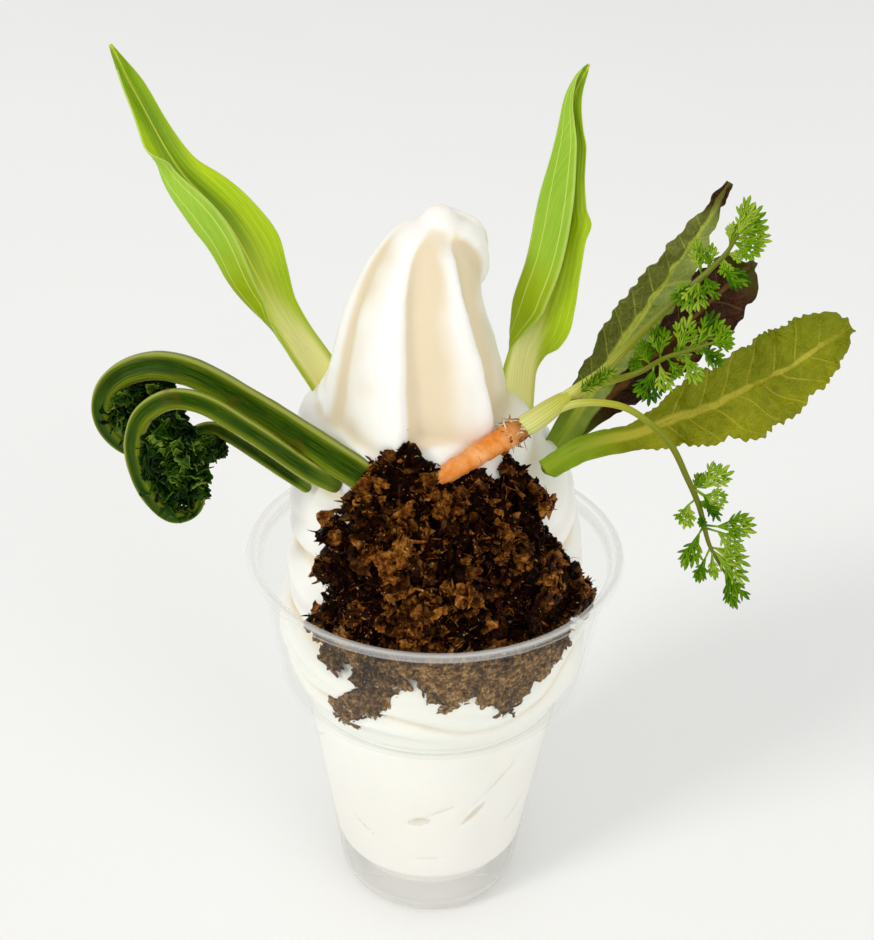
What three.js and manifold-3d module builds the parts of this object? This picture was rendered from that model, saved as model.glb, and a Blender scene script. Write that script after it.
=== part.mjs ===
// Soft serve in a clear stepped cup, planted like a small vegetable garden: a dark crumb "soil" on its
// front, a baby carrot with its fronds, three fiddleheads, two hosta shoots and three lettuce leaves.
// Millimetres, +Z up, origin at the middle of the cup's flat underside. -Y is the front.
import * as THREE from "three";
import { mergeVertices } from "three/addons/utils/BufferGeometryUtils.js";
import Module from "manifold-3d";

const wasm = await Module();
wasm.setup();

// ---------------------------------------------------------------- driving dimensions
const GAP = 0.35; // clearance between neighbouring pieces
const LEAF_FOOT = 1.5; // a leaf's fluted foot stands in a hollow with this many times that clearance

const CUP = {
  height: 111, // rim to table
  rimRadius: 49, // outside of the rolled lip
  beadRadius: 1.1,
  wallTopRadius: 45.8, // outside of the collar, just under the lip
  collarRadius: 41.3, // outside of the collar, just above the step
  collarBottom: 77,
  stepRadius: 35, // outside of the body, just under the step
  stepHeight: 70,
  baseRadius: 26, // outside of the body, just above the base corner
  cornerRadius: 7.5,
  wall: 0.9,
  segments: 36,
};

const CREAM = {
  floorGap: 0.4, // the bottom of the filling over the cup's floor
  bodyTop: 182,
  pitch: 18.5, // rise of one turn of the coil
  creaseStart: 88, // height of the seam on the +X side
  creaseDepth: 2.4,
  ringStep: 4.8,
  // radius and height over the floor of the rounded foot, clear of the cup's bottom corner
  foot: [
    [7, 0],
    [13, 1.8],
    [18, 5],
    [22.4, 9.6],
  ],
  // height and outer radius of the coiled column, above the part that the cup shapes
  column: [
    [76, 37.6],
    [80, 39.6],
    [88, 41],
    [95, 40.4],
    [100, 38.4],
    [108, 38.2],
    [116, 37.2],
    [125, 36.4],
    [132, 34.6],
    [140, 32],
    [148, 28.6],
    [156, 24.5],
    [164, 20.6],
    [171, 17],
    [177, 13],
    [181, 8],
    [182, 4],
  ],
  // height and sideways shift of the column's middle
  leanX: [
    [110, 0],
    [130, -1],
    [150, -4.5],
    [182, -2],
  ],
  leanY: [
    [130, 0],
    [160, 2.5],
    [182, 3.5],
  ],
};

// The drawn-up peak: points of its middle line, with the radius there.
const PEAK = {
  ridges: 6,
  ridgeShare: 0.075,
  spine: [
    [-6.5, -2, 136, 22],
    [-7, -3.5, 147, 21.6],
    [-6.8, -4.5, 158, 19.6],
    [-6, -4.6, 168, 17.2],
    [-4.8, -4.2, 178, 14.9],
    [-3.2, -3.6, 187, 11.6],
    [-2, -3.2, 194, 8.4],
    [-0.8, -3, 199.4, 4],
  ],
  tail: [
    [-5, -3.4, 188, 7.5],
    [-0.6, -2.8, 194.4, 7.6],
    [4.2, -1.4, 194, 6.3],
    [6.9, 0.6, 189.4, 4.7],
    [7.6, 2.2, 185, 3.2],
    [7.4, 3.4, 181.4, 1.4],
  ],
};

// ---------------------------------------------------------------- small mathematics
const lerp = (a, b, t) => a + (b - a) * t;
const always = (value) => () => value;
const clamp = (x, low, high) => Math.min(high, Math.max(low, x));
const smooth = (t) => t * t * (3 - 2 * t);
const fraction = (x) => x - Math.floor(x);
const degrees = (value) => (value * Math.PI) / 180;
const vec = (x, y, z) => new THREE.Vector3(x, y, z);
const TOWARDS_VIEWER = vec(0, -0.87, 0.5);

// A function through [position, value] pairs, straight between them and level beyond both ends.
function through(pairs) {
  return (x) => {
    if (x <= pairs[0][0]) return pairs[0][1];
    const i = pairs.findIndex(([at]) => at >= x);
    if (i < 0) return pairs[pairs.length - 1][1];
    const [x0, y0] = pairs[i - 1];
    const [x1, y1] = pairs[i];
    return lerp(y0, y1, (x - x0) / (x1 - x0));
  };
}

// Repeatable random numbers from 0 to 1.
function randomFrom(seed) {
  let state = seed;
  return () => {
    state = (state * 1664525 + 1013904223) % 4294967296;
    return state / 4294967296;
  };
}

// ---------------------------------------------------------------- meshes and solids
function solidFrom(geometry) {
  const bare = geometry.index ? geometry.toNonIndexed() : geometry.clone();
  bare.deleteAttribute("normal");
  bare.deleteAttribute("uv");
  const merged = mergeVertices(bare, 1e-4);
  const corners = merged.index.array;
  const kept = [];
  for (let i = 0; i < corners.length; i += 3) {
    const [a, b, c] = [corners[i], corners[i + 1], corners[i + 2]];
    if (a !== b && b !== c && c !== a) kept.push(a, b, c);
  }
  const make = (triVerts) =>
    new wasm.Manifold(
      new wasm.Mesh({ numProp: 3, vertProperties: merged.attributes.position.array, triVerts }),
    );
  const made = make(new Uint32Array(kept));
  return made.volume() > 0 ? made : make(new Uint32Array(kept.reverse()));
}

function geometryFrom(solid) {
  const mesh = solid.getMesh();
  return new THREE.BufferGeometry()
    .setAttribute("position", new THREE.BufferAttribute(new Float32Array(mesh.vertProperties), 3))
    .setIndex(new THREE.BufferAttribute(new Uint32Array(mesh.triVerts), 1));
}

// The largest of a solid's separate bodies.
function largest(solid) {
  return solid.decompose().reduce((a, b) => (a.volume() > b.volume() ? a : b));
}

const union = (solids) => solids.reduce((a, b) => a.add(b));

function revolve(profile, segments) {
  const points = profile.map(([radius, height]) => new THREE.Vector2(radius, height));
  return solidFrom(new THREE.LatheGeometry(points, segments).rotateX(Math.PI / 2));
}

// A closed cylinder of rings, with each point of its skin moved to place(j, ring). The middle of
// either end goes to the mean of the end's ring.
function bend(sides, rings, place) {
  const shape = new THREE.CylinderGeometry(1, 1, rings, sides, rings);
  const at = shape.attributes.position;
  const middleOf = (ring) => {
    const sum = vec(0, 0, 0);
    for (let j = 0; j < sides; j++) sum.add(place(j, ring));
    return sum.divideScalar(sides);
  };
  for (let i = 0; i < at.count; i++) {
    const p = vec(at.getX(i), at.getY(i), at.getZ(i));
    const ring = Math.round(p.y + rings / 2);
    const turn = fraction(Math.atan2(p.x, p.z) / (2 * Math.PI) + 1);
    const j = Math.round(turn * sides) % sides;
    const moved = Math.hypot(p.x, p.z) > 0.5 ? place(j, ring) : middleOf(ring);
    at.setXYZ(i, moved.x, moved.y, moved.z);
  }
  return solidFrom(shape);
}

// A thin solid on both sides of a grid of points, with half(i, j) as half of its thickness. Both
// faces are the same plane grid, so they are split into triangles alike.
function sheet(grid, half) {
  const rows = grid.length;
  const columns = grid[0].length;
  const at = (i, j) => grid[clamp(i, 0, rows - 1)][clamp(j, 0, columns - 1)];
  const faces = [[], []];
  for (let i = 0; i < rows; i++)
    for (let j = 0; j < columns; j++) {
      const along = at(i + 1, j).clone().sub(at(i - 1, j));
      const across = at(i, j + 1).clone().sub(at(i, j - 1));
      const normal = along.cross(across).normalize().multiplyScalar(half(i, j));
      faces[0].push(grid[i][j].clone().add(normal));
      faces[1].push(grid[i][j].clone().sub(normal));
    }
  const under = rows * columns;
  const top = [...new THREE.PlaneGeometry(1, 1, columns - 1, rows - 1).index.array];
  const triangles = [...top, ...top.map((corner) => corner + under).reverse()];
  const rim = [];
  for (let j = 0; j + 1 < columns; j++) rim.push(j);
  for (let i = 0; i + 1 < rows; i++) rim.push(i * columns + columns - 1);
  for (let j = columns - 1; j > 0; j--) rim.push((rows - 1) * columns + j);
  for (let i = rows - 1; i > 0; i--) rim.push(i * columns);
  rim.forEach((a, k) => {
    const b = rim[(k + 1) % rim.length];
    triangles.push(a, b, b + under, a, b + under, a + under);
  });
  const geometry = new THREE.BufferGeometry().setFromPoints([...faces[0], ...faces[1]]);
  geometry.setIndex(triangles);
  return solidFrom(geometry);
}

// A curve through [x, y, z, ...] points.
function curveThrough(points) {
  return new THREE.CatmullRomCurve3(points.map(([x, y, z]) => vec(x, y, z)), false, "centripetal");
}

// A tube through [x, y, z, radius] points. section(angle, share) scales the radius around it.
function tube(points, steps, sides, { grow = 0, section = () => 1 } = {}) {
  const curve = curveThrough(points);
  const radiusAt = through(points.map(([, , , radius], i) => [i / (points.length - 1), radius]));
  const frames = curve.computeFrenetFrames(steps, false);
  return bend(sides, steps, (j, i) => {
    const share = i / steps;
    const angle = (j / sides) * 2 * Math.PI;
    const radius = radiusAt(curve.getUtoTmapping(share)) * section(angle, share) + grow;
    const end = i === 0 ? -grow : i === steps ? grow : 0;
    return curve
      .getPointAt(share)
      .addScaledVector(frames.tangents[i], end)
      .addScaledVector(frames.normals[i], radius * Math.cos(angle))
      .addScaledVector(frames.binormals[i], radius * Math.sin(angle));
  });
}

// ---------------------------------------------------------------- the cup
// Points of a rounded corner from one point to another, bulging towards the corner between them.
function corner([r0, z0], [rc, zc], [r1, z1], steps) {
  const points = [];
  for (let i = 0; i <= steps; i++) {
    const t = i / steps;
    const [a, b, c] = [(1 - t) ** 2, 2 * t * (1 - t), t * t];
    points.push([a * r0 + b * rc + c * r1, a * z0 + b * zc + c * z1]);
  }
  return points;
}

// The wall's profile from the axis to the lip, moved inwards by inset.
function cupWall(inset) {
  const { baseRadius, cornerRadius, stepRadius, stepHeight, collarRadius, collarBottom, wallTopRadius } = CUP;
  const floor = inset;
  const ledge = stepHeight + inset * 0.7;
  return [
    [0, floor],
    ...corner(
      [baseRadius - cornerRadius, floor],
      [baseRadius - inset - 0.8, floor],
      [baseRadius - inset, cornerRadius],
      3,
    ),
    [stepRadius - inset, stepHeight - 2],
    ...corner(
      [stepRadius - inset + 0.2, ledge],
      [collarRadius - inset - 0.2, ledge + 0.6],
      [collarRadius - inset, collarBottom],
      3,
    ),
    [wallTopRadius - inset, CUP.height - 3.2],
  ];
}

function cup() {
  const { height, rimRadius, beadRadius, wallTopRadius, wall, segments } = CUP;
  const bead = [];
  for (let i = 0; i <= 4; i++) {
    const angle = degrees(-110 + i * 50);
    bead.push([
      rimRadius - beadRadius + beadRadius * Math.cos(angle),
      height - beadRadius + beadRadius * Math.sin(angle),
    ]);
  }
  const profile = [
    ...cupWall(0),
    [wallTopRadius + 0.5, height - 1.7],
    ...bead,
    [wallTopRadius + 0.6, height - 0.5],
    ...cupWall(wall).reverse(),
  ];
  return revolve(profile, segments);
}

// The room inside the cup, closed over the rim by a straight column.
function cupInside(grow) {
  const inner = cupWall(CUP.wall + grow);
  const top = inner[inner.length - 1][0];
  return revolve([...inner, [top, CUP.height], [top, CUP.height + 60], [0, CUP.height + 60]], CUP.segments);
}

// ---------------------------------------------------------------- the soft serve
const insideWall = through(
  cupWall(CUP.wall + GAP)
    .slice(1)
    .map(([radius, z]) => [z, radius]),
);
const columnRadius = through(CREAM.column);
const leanX = through(CREAM.leanX);
const leanY = through(CREAM.leanY);

// Distance from the column's middle to its surface: pressed to the wall low down, coiled above.
function creamRadius(angle, z) {
  const turn = fraction((z - CREAM.creaseStart) / CREAM.pitch - angle / (2 * Math.PI));
  const bulge = 2 * Math.sqrt(turn * (1 - turn)) - 0.75;
  const coil = CREAM.creaseDepth * bulge * smooth(clamp((z - 76) / 14, 0, 1));
  const radius = columnRadius(z) + coil * clamp(columnRadius(z) / 16, 0, 1);
  return z < CUP.height - 12 ? Math.min(radius, insideWall(z)) : radius;
}

function cream(grow = 0) {
  const floor = CUP.wall + CREAM.floorGap;
  const ledge = CUP.stepHeight + (CUP.wall + GAP) * 0.7;
  const rings = CREAM.foot.map(([radius, up]) => [floor + up - grow, always(radius)]);
  for (const z of [17, 42, ledge]) rings.push([z, always(insideWall(z))]);
  rings.push([ledge + 2.4, always(columnRadius(76) - 1.2)]);
  for (let z = 76; z < CREAM.bodyTop; z += CREAM.ringStep) rings.push([z, (angle) => creamRadius(angle, z)]);
  rings.push([CREAM.bodyTop + grow, always(columnRadius(CREAM.bodyTop))]);
  const column = bend(CUP.segments, rings.length - 1, (j, i) => {
    const [z, radiusAt] = rings[i];
    const angle = (j / CUP.segments) * 2 * Math.PI;
    const radius = radiusAt(angle) + grow;
    return vec(leanX(z) + radius * Math.cos(angle), leanY(z) + radius * Math.sin(angle), z);
  });
  const ridged = (angle, share) =>
    1 +
    PEAK.ridgeShare * Math.cos(PEAK.ridges * (angle - 0.5 * share)) * smooth(clamp(3 - 3 * share, 0, 1));
  return union([
    column,
    tube(PEAK.spine, 10, 24, { grow, section: ridged }),
    tube(PEAK.tail, 7, 9, { grow }),
  ]);
}

// ---------------------------------------------------------------- leaves
// A point of a half blade, seen along the midrib: it leaves the midrib at the start angle, bends
// evenly to the end angle, and its rise is scaled by flatten.
function bladePoint({ width, start, end, flatten }, share) {
  const [from, turn] = [degrees(start), degrees(end - start)];
  if (Math.abs(turn) < 1e-3) return [width * share * Math.cos(from), width * share * Math.sin(from)];
  const angle = from + turn * share;
  const across = (width / turn) * (Math.sin(angle) - Math.sin(from));
  return [across, (width / turn) * (Math.cos(from) - Math.cos(angle)) * flatten];
}

// A leaf along a spine, with its upper face towards facing. left and right describe the half blades
// along it, rib(t) and edge are its thickness at the midrib and at the edge.
function leaf({ spine, facing, left, right, columns, rib, edge, steps, wave = always(0) }, grow = 0) {
  const curve = curveThrough(spine);
  const grid = [];
  for (let i = 0; i <= steps; i++) {
    const t = i / steps;
    const along = curve.getTangentAt(t);
    const middle = curve.getPointAt(t).addScaledVector(along, i ? 0 : -grow);
    const across = along.clone().cross(facing).normalize();
    const out = across.clone().cross(along).normalize();
    const row = [];
    for (let j = -columns.left; j <= columns.right; j++) {
      const side = j < 0 ? left : right;
      const share = Math.abs(j) / (j < 0 ? columns.left : columns.right);
      const blade = {
        width: side.width(t) + grow,
        start: side.start(t),
        end: side.end(t),
        flatten: side.flatten(t),
      };
      const [x, rise] = bladePoint(blade, share);
      row.push(
        middle
          .clone()
          .addScaledVector(across, Math.sign(j) * x)
          .addScaledVector(out, rise + wave(t, Math.sign(j) * share)),
      );
    }
    grid.push(row);
  }
  const halfThickness = (i, j) => {
    const side = j - columns.left;
    const share = Math.abs(side) / (side < 0 ? columns.left : columns.right);
    return lerp(rib(i / steps), edge, smooth(clamp(share * 1.6, 0, 1))) / 2 + grow;
  };
  return sheet(grid, halfThickness);
}

// Hosta shoots: a channelled stalk that opens into a long pointed blade, with its left half rolled
// over towards the front.
const HOSTA_LEFT = {
  spine: [
    [-20.5, 8.5, 137],
    [-27.8, 9, 151.2],
    [-40.3, 10.4, 170.6],
    [-51.6, 12.5, 192.1],
    [-62.3, 13.9, 204.5],
    [-71.5, 15.3, 221.9],
    [-76.2, 16, 232.6],
  ],
  facing: vec(0.35, -0.88, 0.4),
  left: {
    width: through([
      [0, 3],
      [0.22, 4],
      [0.3, 8],
      [0.36, 15],
      [0.45, 19.5],
      [0.57, 20],
      [0.64, 15],
      [0.72, 6],
      [0.82, 3.8],
      [0.92, 2.6],
      [1, 0.3],
    ]),
    start: through([[0, 26], [0.3, 22], [0.45, 10], [1, 15]]),
    end: through([[0, 55], [0.22, 75], [0.36, 150], [0.62, 160], [0.72, 70], [0.8, 30]]),
    flatten: through([[0.2, 1], [0.4, 0.3], [0.66, 0.3], [0.78, 1]]),
  },
  right: {
    width: through([
      [0, 3],
      [0.26, 3.2],
      [0.35, 4.2],
      [0.43, 7.2],
      [0.5, 9.2],
      [0.58, 7.8],
      [0.65, 6.6],
      [0.73, 4.4],
      [0.82, 3.5],
      [0.9, 3.4],
      [1, 0.3],
    ]),
    start: through([[0, 26], [0.4, 20]]),
    end: through([[0, 55], [0.33, 30], [0.5, 0], [1, 15]]),
    flatten: always(1),
  },
  columns: { left: 4, right: 2 },
  rib: through([[0, 1.3], [0.35, 1.3], [1, 0.8]]),
  edge: 0.7,
  steps: 15,
};

const HOSTA_RIGHT = {
  spine: [
    [20.5, 5, 138.5],
    [19.8, 5.5, 150.5],
    [20.4, 6.4, 162.3],
    [23.3, 7.4, 173.9],
    [26.6, 8.3, 185.7],
    [28.5, 9.2, 200],
    [29, 10.1, 213.7],
    [29.2, 11.1, 224.3],
    [31.8, 12, 231.4],
  ],
  facing: vec(-0.2, -0.9, 0.3),
  left: {
    width: through([
      [0, 3],
      [0.22, 4],
      [0.3, 9],
      [0.38, 16],
      [0.5, 20.5],
      [0.66, 21],
      [0.8, 16],
      [0.9, 6.5],
      [1, 0.3],
    ]),
    start: through([[0, 26], [0.22, 22], [0.32, 10]]),
    end: through([[0, 55], [0.22, 75], [0.32, 150], [0.8, 160], [0.9, 90], [1, 40]]),
    flatten: through([[0.2, 1], [0.35, 0.3], [0.8, 0.3], [1, 1]]),
  },
  right: {
    width: through([
      [0, 3],
      [0.2, 3],
      [0.27, 4.6],
      [0.33, 7.6],
      [0.39, 8.4],
      [0.51, 6.2],
      [0.6, 5.8],
      [0.66, 4.8],
      [0.8, 2.8],
      [0.92, 1.8],
      [1, 0.3],
    ]),
    start: through([[0, 26], [0.4, 20]]),
    end: through([[0, 55], [0.3, 10], [0.6, -10], [1, 20]]),
    flatten: always(1),
  },
  columns: { left: 4, right: 2 },
  rib: through([[0, 1.3], [0.35, 1.3], [1, 0.8]]),
  edge: 0.7,
  steps: 15,
};

// Lettuce leaves: a stout midrib with a toothed, slightly ruffled blade.
const toothed = (points, teeth) => (t) => through(points)(t) * (1 - 0.09 * fraction(t * teeth));

// Both halves of a lettuce blade open from the channel at the foot to a nearly flat blade.
function lettuceHalf(widths, teeth, tilt) {
  return {
    width: toothed(widths, teeth),
    start: through([[0, 25], [0.4, tilt + 10], [1, tilt]]),
    end: through([[0, 55], [0.4, tilt + 20], [1, tilt - 5]]),
    flatten: always(1),
  };
}

const LETTUCE_SIDE = {
  spine: [
    [21, -3, 131.5],
    [33, -5.5, 138],
    [47, -6, 145.6],
    [61, -6, 151],
    [74.5, -6, 158.6],
    [86, -6, 167.6],
    [95.8, -6, 175.6],
  ],
  facing: vec(0, -0.85, 0.52),
  left: lettuceHalf([[0, 2.8], [0.2, 3.2], [0.4, 4.6], [0.55, 7.8], [0.75, 9.6], [0.9, 9], [1, 1.5]], 9, 5),
  right: lettuceHalf([[0, 2.8], [0.2, 3.4], [0.36, 6], [0.52, 9.6], [0.7, 11.2], [0.88, 9], [1, 1.5]], 8, 0),
  columns: { left: 2, right: 2 },
  rib: through([[0, 1.8], [0.4, 1.8], [1, 0.9]]),
  edge: 0.7,
  steps: 22,
  wave: (t, v) => 0.9 * v * v * Math.sin(26 * t + 2 * v),
};

const LETTUCE_UPRIGHT = {
  spine: [
    [23.5, 1, 131],
    [31.5, 2.5, 143],
    [39, 4, 157],
    [47, 5.5, 171.5],
    [55, 6.5, 185.5],
    [62, 7.5, 196.5],
    [66.2, 8, 206],
  ],
  facing: vec(0.25, -0.86, 0.42),
  left: lettuceHalf([[0, 2.6], [0.2, 3], [0.45, 5.6], [0.7, 6.2], [0.88, 2.8], [1, 0.8]], 8, -10),
  right: lettuceHalf([[0, 2.6], [0.2, 2.8], [0.45, 4.8], [0.7, 6], [0.88, 3.4], [1, 0.8]], 9, 20),
  columns: { left: 2, right: 2 },
  rib: through([[0, 1.8], [0.5, 1.7], [1, 0.9]]),
  edge: 0.7,
  steps: 20,
  wave: (t, v) => 0.7 * v * v * Math.sin(24 * t + 2 * v),
};

const LETTUCE_RED = {
  spine: [
    [23, 9, 132],
    [32.5, 9.5, 139],
    [43, 10.5, 149.5],
    [54, 11.5, 161.5],
    [65, 13, 173.5],
    [75.5, 14.5, 185],
  ],
  facing: vec(0.1, -0.86, 0.5),
  left: lettuceHalf([[0, 2.5], [0.25, 2.4], [0.5, 4.8], [0.75, 8.2], [0.92, 7], [1, 0.9]], 8, 5),
  right: lettuceHalf([[0, 2.5], [0.25, 3.6], [0.5, 7.6], [0.75, 8.8], [0.92, 7], [1, 0.9]], 8, 5),
  columns: { left: 2, right: 2 },
  rib: through([[0, 1.7], [0.5, 1.6], [1, 0.9]]),
  edge: 0.7,
  steps: 16,
  wave: (t, v) => 0.9 * v * v * Math.sin(22 * t + 2 * v),
};

// ---------------------------------------------------------------- fiddleheads
// Each is a stem that ends in a flat spiral; the spiral is filled by its folded leaflets.
const FIDDLEHEADS = {
  back: {
    stem: [
      [-10.5, -21.5, 141.8, 3.7],
      [-26.8, -22, 149.9, 3.8],
      [-43.1, -18.5, 159.2, 3.6],
      [-57.7, -14.5, 165.5, 3.5],
      [-66, -13, 166.2, 3.4],
      [-73.3, -12.5, 163.9, 3.2],
      [-78.3, -12, 159.1, 3],
      [-80.1, -12, 153.2, 2.8],
      [-78.5, -12, 147.6, 2.5],
      [-73.5, -12, 143.6, 2.2],
      [-66.5, -12, 144.2, 1.9],
      [-62.8, -12, 149.5, 1.6],
    ],
    head: { middle: [-70, -12, 154], size: [9, 3.6, 9.4] },
    steps: 19,
  },
  front: {
    stem: [
      [-21.6, -23.6, 139.6, 2.3],
      [-29, -26.6, 146.2, 2.4],
      [-42, -28.5, 157.7, 2.4],
      [-53.2, -28.5, 164.8, 2.4],
      [-59.8, -28.5, 165.4, 2.4],
      [-65.8, -28.5, 161.4, 2.4],
      [-68.4, -28.5, 154.9, 2.4],
      [-68.2, -28.5, 147.8, 2.4],
      [-65.8, -28.5, 140.4, 2.3],
      [-61.2, -28.5, 135.4, 2.2],
      [-55.8, -28.5, 137.1, 2],
      [-53, -28.5, 142.6, 1.8],
      [-53.1, -28.5, 148.8, 1.6],
      [-55.1, -28.5, 153.5, 1.3],
    ],
    head: { middle: [-60.4, -28.5, 149.8], size: [7.2, 3.4, 12] },
    steps: 22,
  },
  small: {
    stem: [
      [-27.5, -17.5, 134.6, 1.6],
      [-40.7, -18.5, 145.2, 1.7],
      [-48.3, -19, 151.1, 1.6],
      [-52.5, -19, 153.4, 1.5],
      [-56.8, -19, 152, 1.4],
      [-57.6, -19, 147.6, 1.3],
      [-54.4, -19, 144.8, 1.1],
      [-51.2, -19, 146.8, 1],
    ],
    head: { middle: [-54, -19, 149], size: [3.8, 2, 3.8] },
    steps: 13,
  },
};

// A lumpy ball that stands for the leaflets packed inside a curl.
function foliage({ middle, size }, grow) {
  const ball = new THREE.SphereGeometry(1, 9, 6);
  const at = ball.attributes.position;
  for (let i = 0; i < at.count; i++) {
    const p = vec(at.getX(i), at.getY(i), at.getZ(i));
    const lump = 1 + 0.14 * Math.sin(5 * p.x + 4 * p.y) * Math.cos(5 * p.z);
    const place = (axis) => middle[axis] + p.getComponent(axis) * (size[axis] * lump + grow);
    at.setXYZ(i, place(0), place(1), place(2));
  }
  return solidFrom(ball);
}

function fiddlehead({ stem, head, steps }, grow = 0) {
  return tube(stem, steps, 7, { grow }).add(foliage(head, grow));
}

// ---------------------------------------------------------------- the carrot
const CARROT_ROOT = [
  [-2.5, -29, 145, 1.8],
  [4.6, -26.4, 148.9, 2.6],
  [11, -22.2, 151.2, 2.8],
  [17.6, -18.6, 153.9, 3],
  [20.2, -17.6, 155, 2.3],
];

// A flat three-fingered leaflet from a base point, in the plane of its direction and its side vector.
const LEAFLET = [
  [-0.1, 0],
  [0.45, -0.14],
  [0.8, -0.42],
  [1, 0],
  [0.8, 0.42],
  [0.45, 0.14],
];

function leaflet(base, direction, side, length, thickness) {
  const outline = new THREE.Shape(LEAFLET.map(([x, y]) => new THREE.Vector2(x * length, y * length)));
  const shape = new THREE.ExtrudeGeometry(outline, { depth: thickness, bevelEnabled: false, steps: 1 });
  shape.translate(0, 0, -thickness / 2);
  const normal = direction.clone().cross(side).normalize();
  const basis = new THREE.Matrix4().makeBasis(direction, normal.clone().cross(direction), normal);
  shape.applyMatrix4(basis.setPosition(base));
  return solidFrom(shape);
}

// A frond: a stalk with pairs of leaflets on its outer part.
function frond({ stalk, steps, pairs, from, reach, spread, pitch }) {
  const curve = curveThrough(stalk);
  const pieces = [tube(stalk, steps, 5)];
  for (let i = 0; i <= pairs; i++) {
    const share = i / pairs;
    const t = lerp(from, 1, share);
    const along = curve.getTangentAt(t);
    const across = along.clone().cross(TOWARDS_VIEWER).normalize();
    const out = across.clone().cross(along).normalize();
    for (const sign of i === pairs ? [0] : [-1, 1]) {
      const lean = degrees(spread) * sign;
      const direction = along
        .clone()
        .multiplyScalar(Math.cos(lean))
        .addScaledVector(across, Math.sin(lean))
        .addScaledVector(out, pitch * (i % 2 ? 1 : -0.4))
        .normalize();
      const side = out.clone().cross(direction).normalize();
      pieces.push(leaflet(curve.getPointAt(t), direction, side, reach(share, sign), 0.7));
    }
  }
  return union(pieces);
}

const FRONDS = [
  {
    stalk: [
      [19.6, -17.8, 154.6, 1.6],
      [24.8, -16, 158.2, 1.6],
      [29, -15, 161.4, 1.5],
      [37.4, -14.5, 168.4, 1.1],
      [46, -14.2, 178.6, 0.9],
      [54, -14, 187.4, 0.8],
      [61.6, -14, 196.2, 0.7],
      [66.4, -14, 203.6, 0.5],
    ],
    steps: 8,
    pairs: 2,
    from: 0.7,
    reach: (share, sign) => 13 - 4.5 * share + 1.5 * sign,
    spread: 42,
    pitch: 0.25,
  },
  {
    stalk: [
      [19.6, -17.6, 154.2, 1.4],
      [25, -15.2, 157.2, 1.2],
      [31, -13.8, 160.6, 1.2],
      [37.4, -13, 164, 0.9],
      [44, -12.8, 166.6, 0.8],
      [51.6, -15, 171.8, 0.7],
      [58.4, -17, 176, 0.6],
      [64, -18, 180.2, 0.4],
    ],
    steps: 8,
    pairs: 3,
    from: 0.52,
    reach: (share, sign) => 14 - 5 * share + sign,
    spread: 48,
    pitch: 0.22,
  },
  {
    stalk: [
      [19.6, -18, 154.2, 1.4],
      [24.8, -16.6, 157.2, 1.3],
      [31, -16, 160.2, 1.2],
      [37.6, -16.2, 160.8, 0.8],
      [47, -17.8, 158, 0.8],
      [55, -19, 150.6, 0.8],
      [60.2, -20, 141, 0.8],
      [65, -21, 129, 0.7],
      [70, -21.8, 120.6, 0.6],
      [72.6, -22.2, 115.8, 0.4],
    ],
    steps: 12,
    pairs: 3,
    from: 0.64,
    reach: (share, sign) => (sign < 0 ? 13.5 : 11) - 3 * share,
    spread: 46,
    pitch: 0.2,
  },
];

// A young frond that is still folded, low in the fork of the stalks.
const BUD = [
  [32.6, -16.8, 163.6, 0.9],
  [35, -17, 165.8, 1.8],
  [37.6, -17.2, 167.8, 1.6],
  [39.8, -17.2, 169.8, 0.5],
];

// Only the root is buried, so it alone is grown for the hollow that it stands in.
const carrotRoot = (grow) => tube(CARROT_ROOT, 8, 10, { grow });

function carrot() {
  return largest(union([carrotRoot(0), tube(BUD, 5, 6), ...FRONDS.map(frond)]));
}

// ---------------------------------------------------------------- the crumb heap
// It leans on the front of the soft serve, from the foot of the peak down into the cup.
const HEAP = {
  seed: 11,
  bottom: 88,
  top: 152,
  layer: 6.4, // thickness over the soft serve
  taper: 16, // height over which its upper edge thins out
  middle: -81, // direction it faces, in degrees from +X
  // height and half width, in degrees
  edge: [
    [82, 38],
    [98, 54],
    [106, 58],
    [119, 56],
    [130, 52],
    [138, 47],
    [145, 42],
    [152, 28],
  ],
  tongues: 7, // how far its three tongues hang down
  rows: 9,
  columns: 12,
  crumbs: 48,
};
const heapEdge = through(HEAP.edge);

function heapSurface(share, z, depth = 1) {
  const angle = degrees(HEAP.middle + heapEdge(z) * share);
  const thin = (1 - 0.5 * Math.abs(share) ** 3) * clamp((HEAP.top + 3 - z) / HEAP.taper, 0, 1);
  const radius = (columnRadius(z) + HEAP.layer * thin) * depth;
  return vec(leanX(z) + radius * Math.cos(angle), leanY(z) + radius * Math.sin(angle), z);
}

function crumb(random, middle, size) {
  const shape = new THREE.IcosahedronGeometry(1, 0);
  shape.scale(size, size * lerp(0.5, 0.9, random()), size * lerp(0.4, 0.75, random()));
  const turned = new THREE.Euler(random() * Math.PI, random() * Math.PI, random() * Math.PI);
  shape.applyMatrix4(new THREE.Matrix4().makeRotationFromEuler(turned).setPosition(middle));
  return solidFrom(shape);
}

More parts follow.
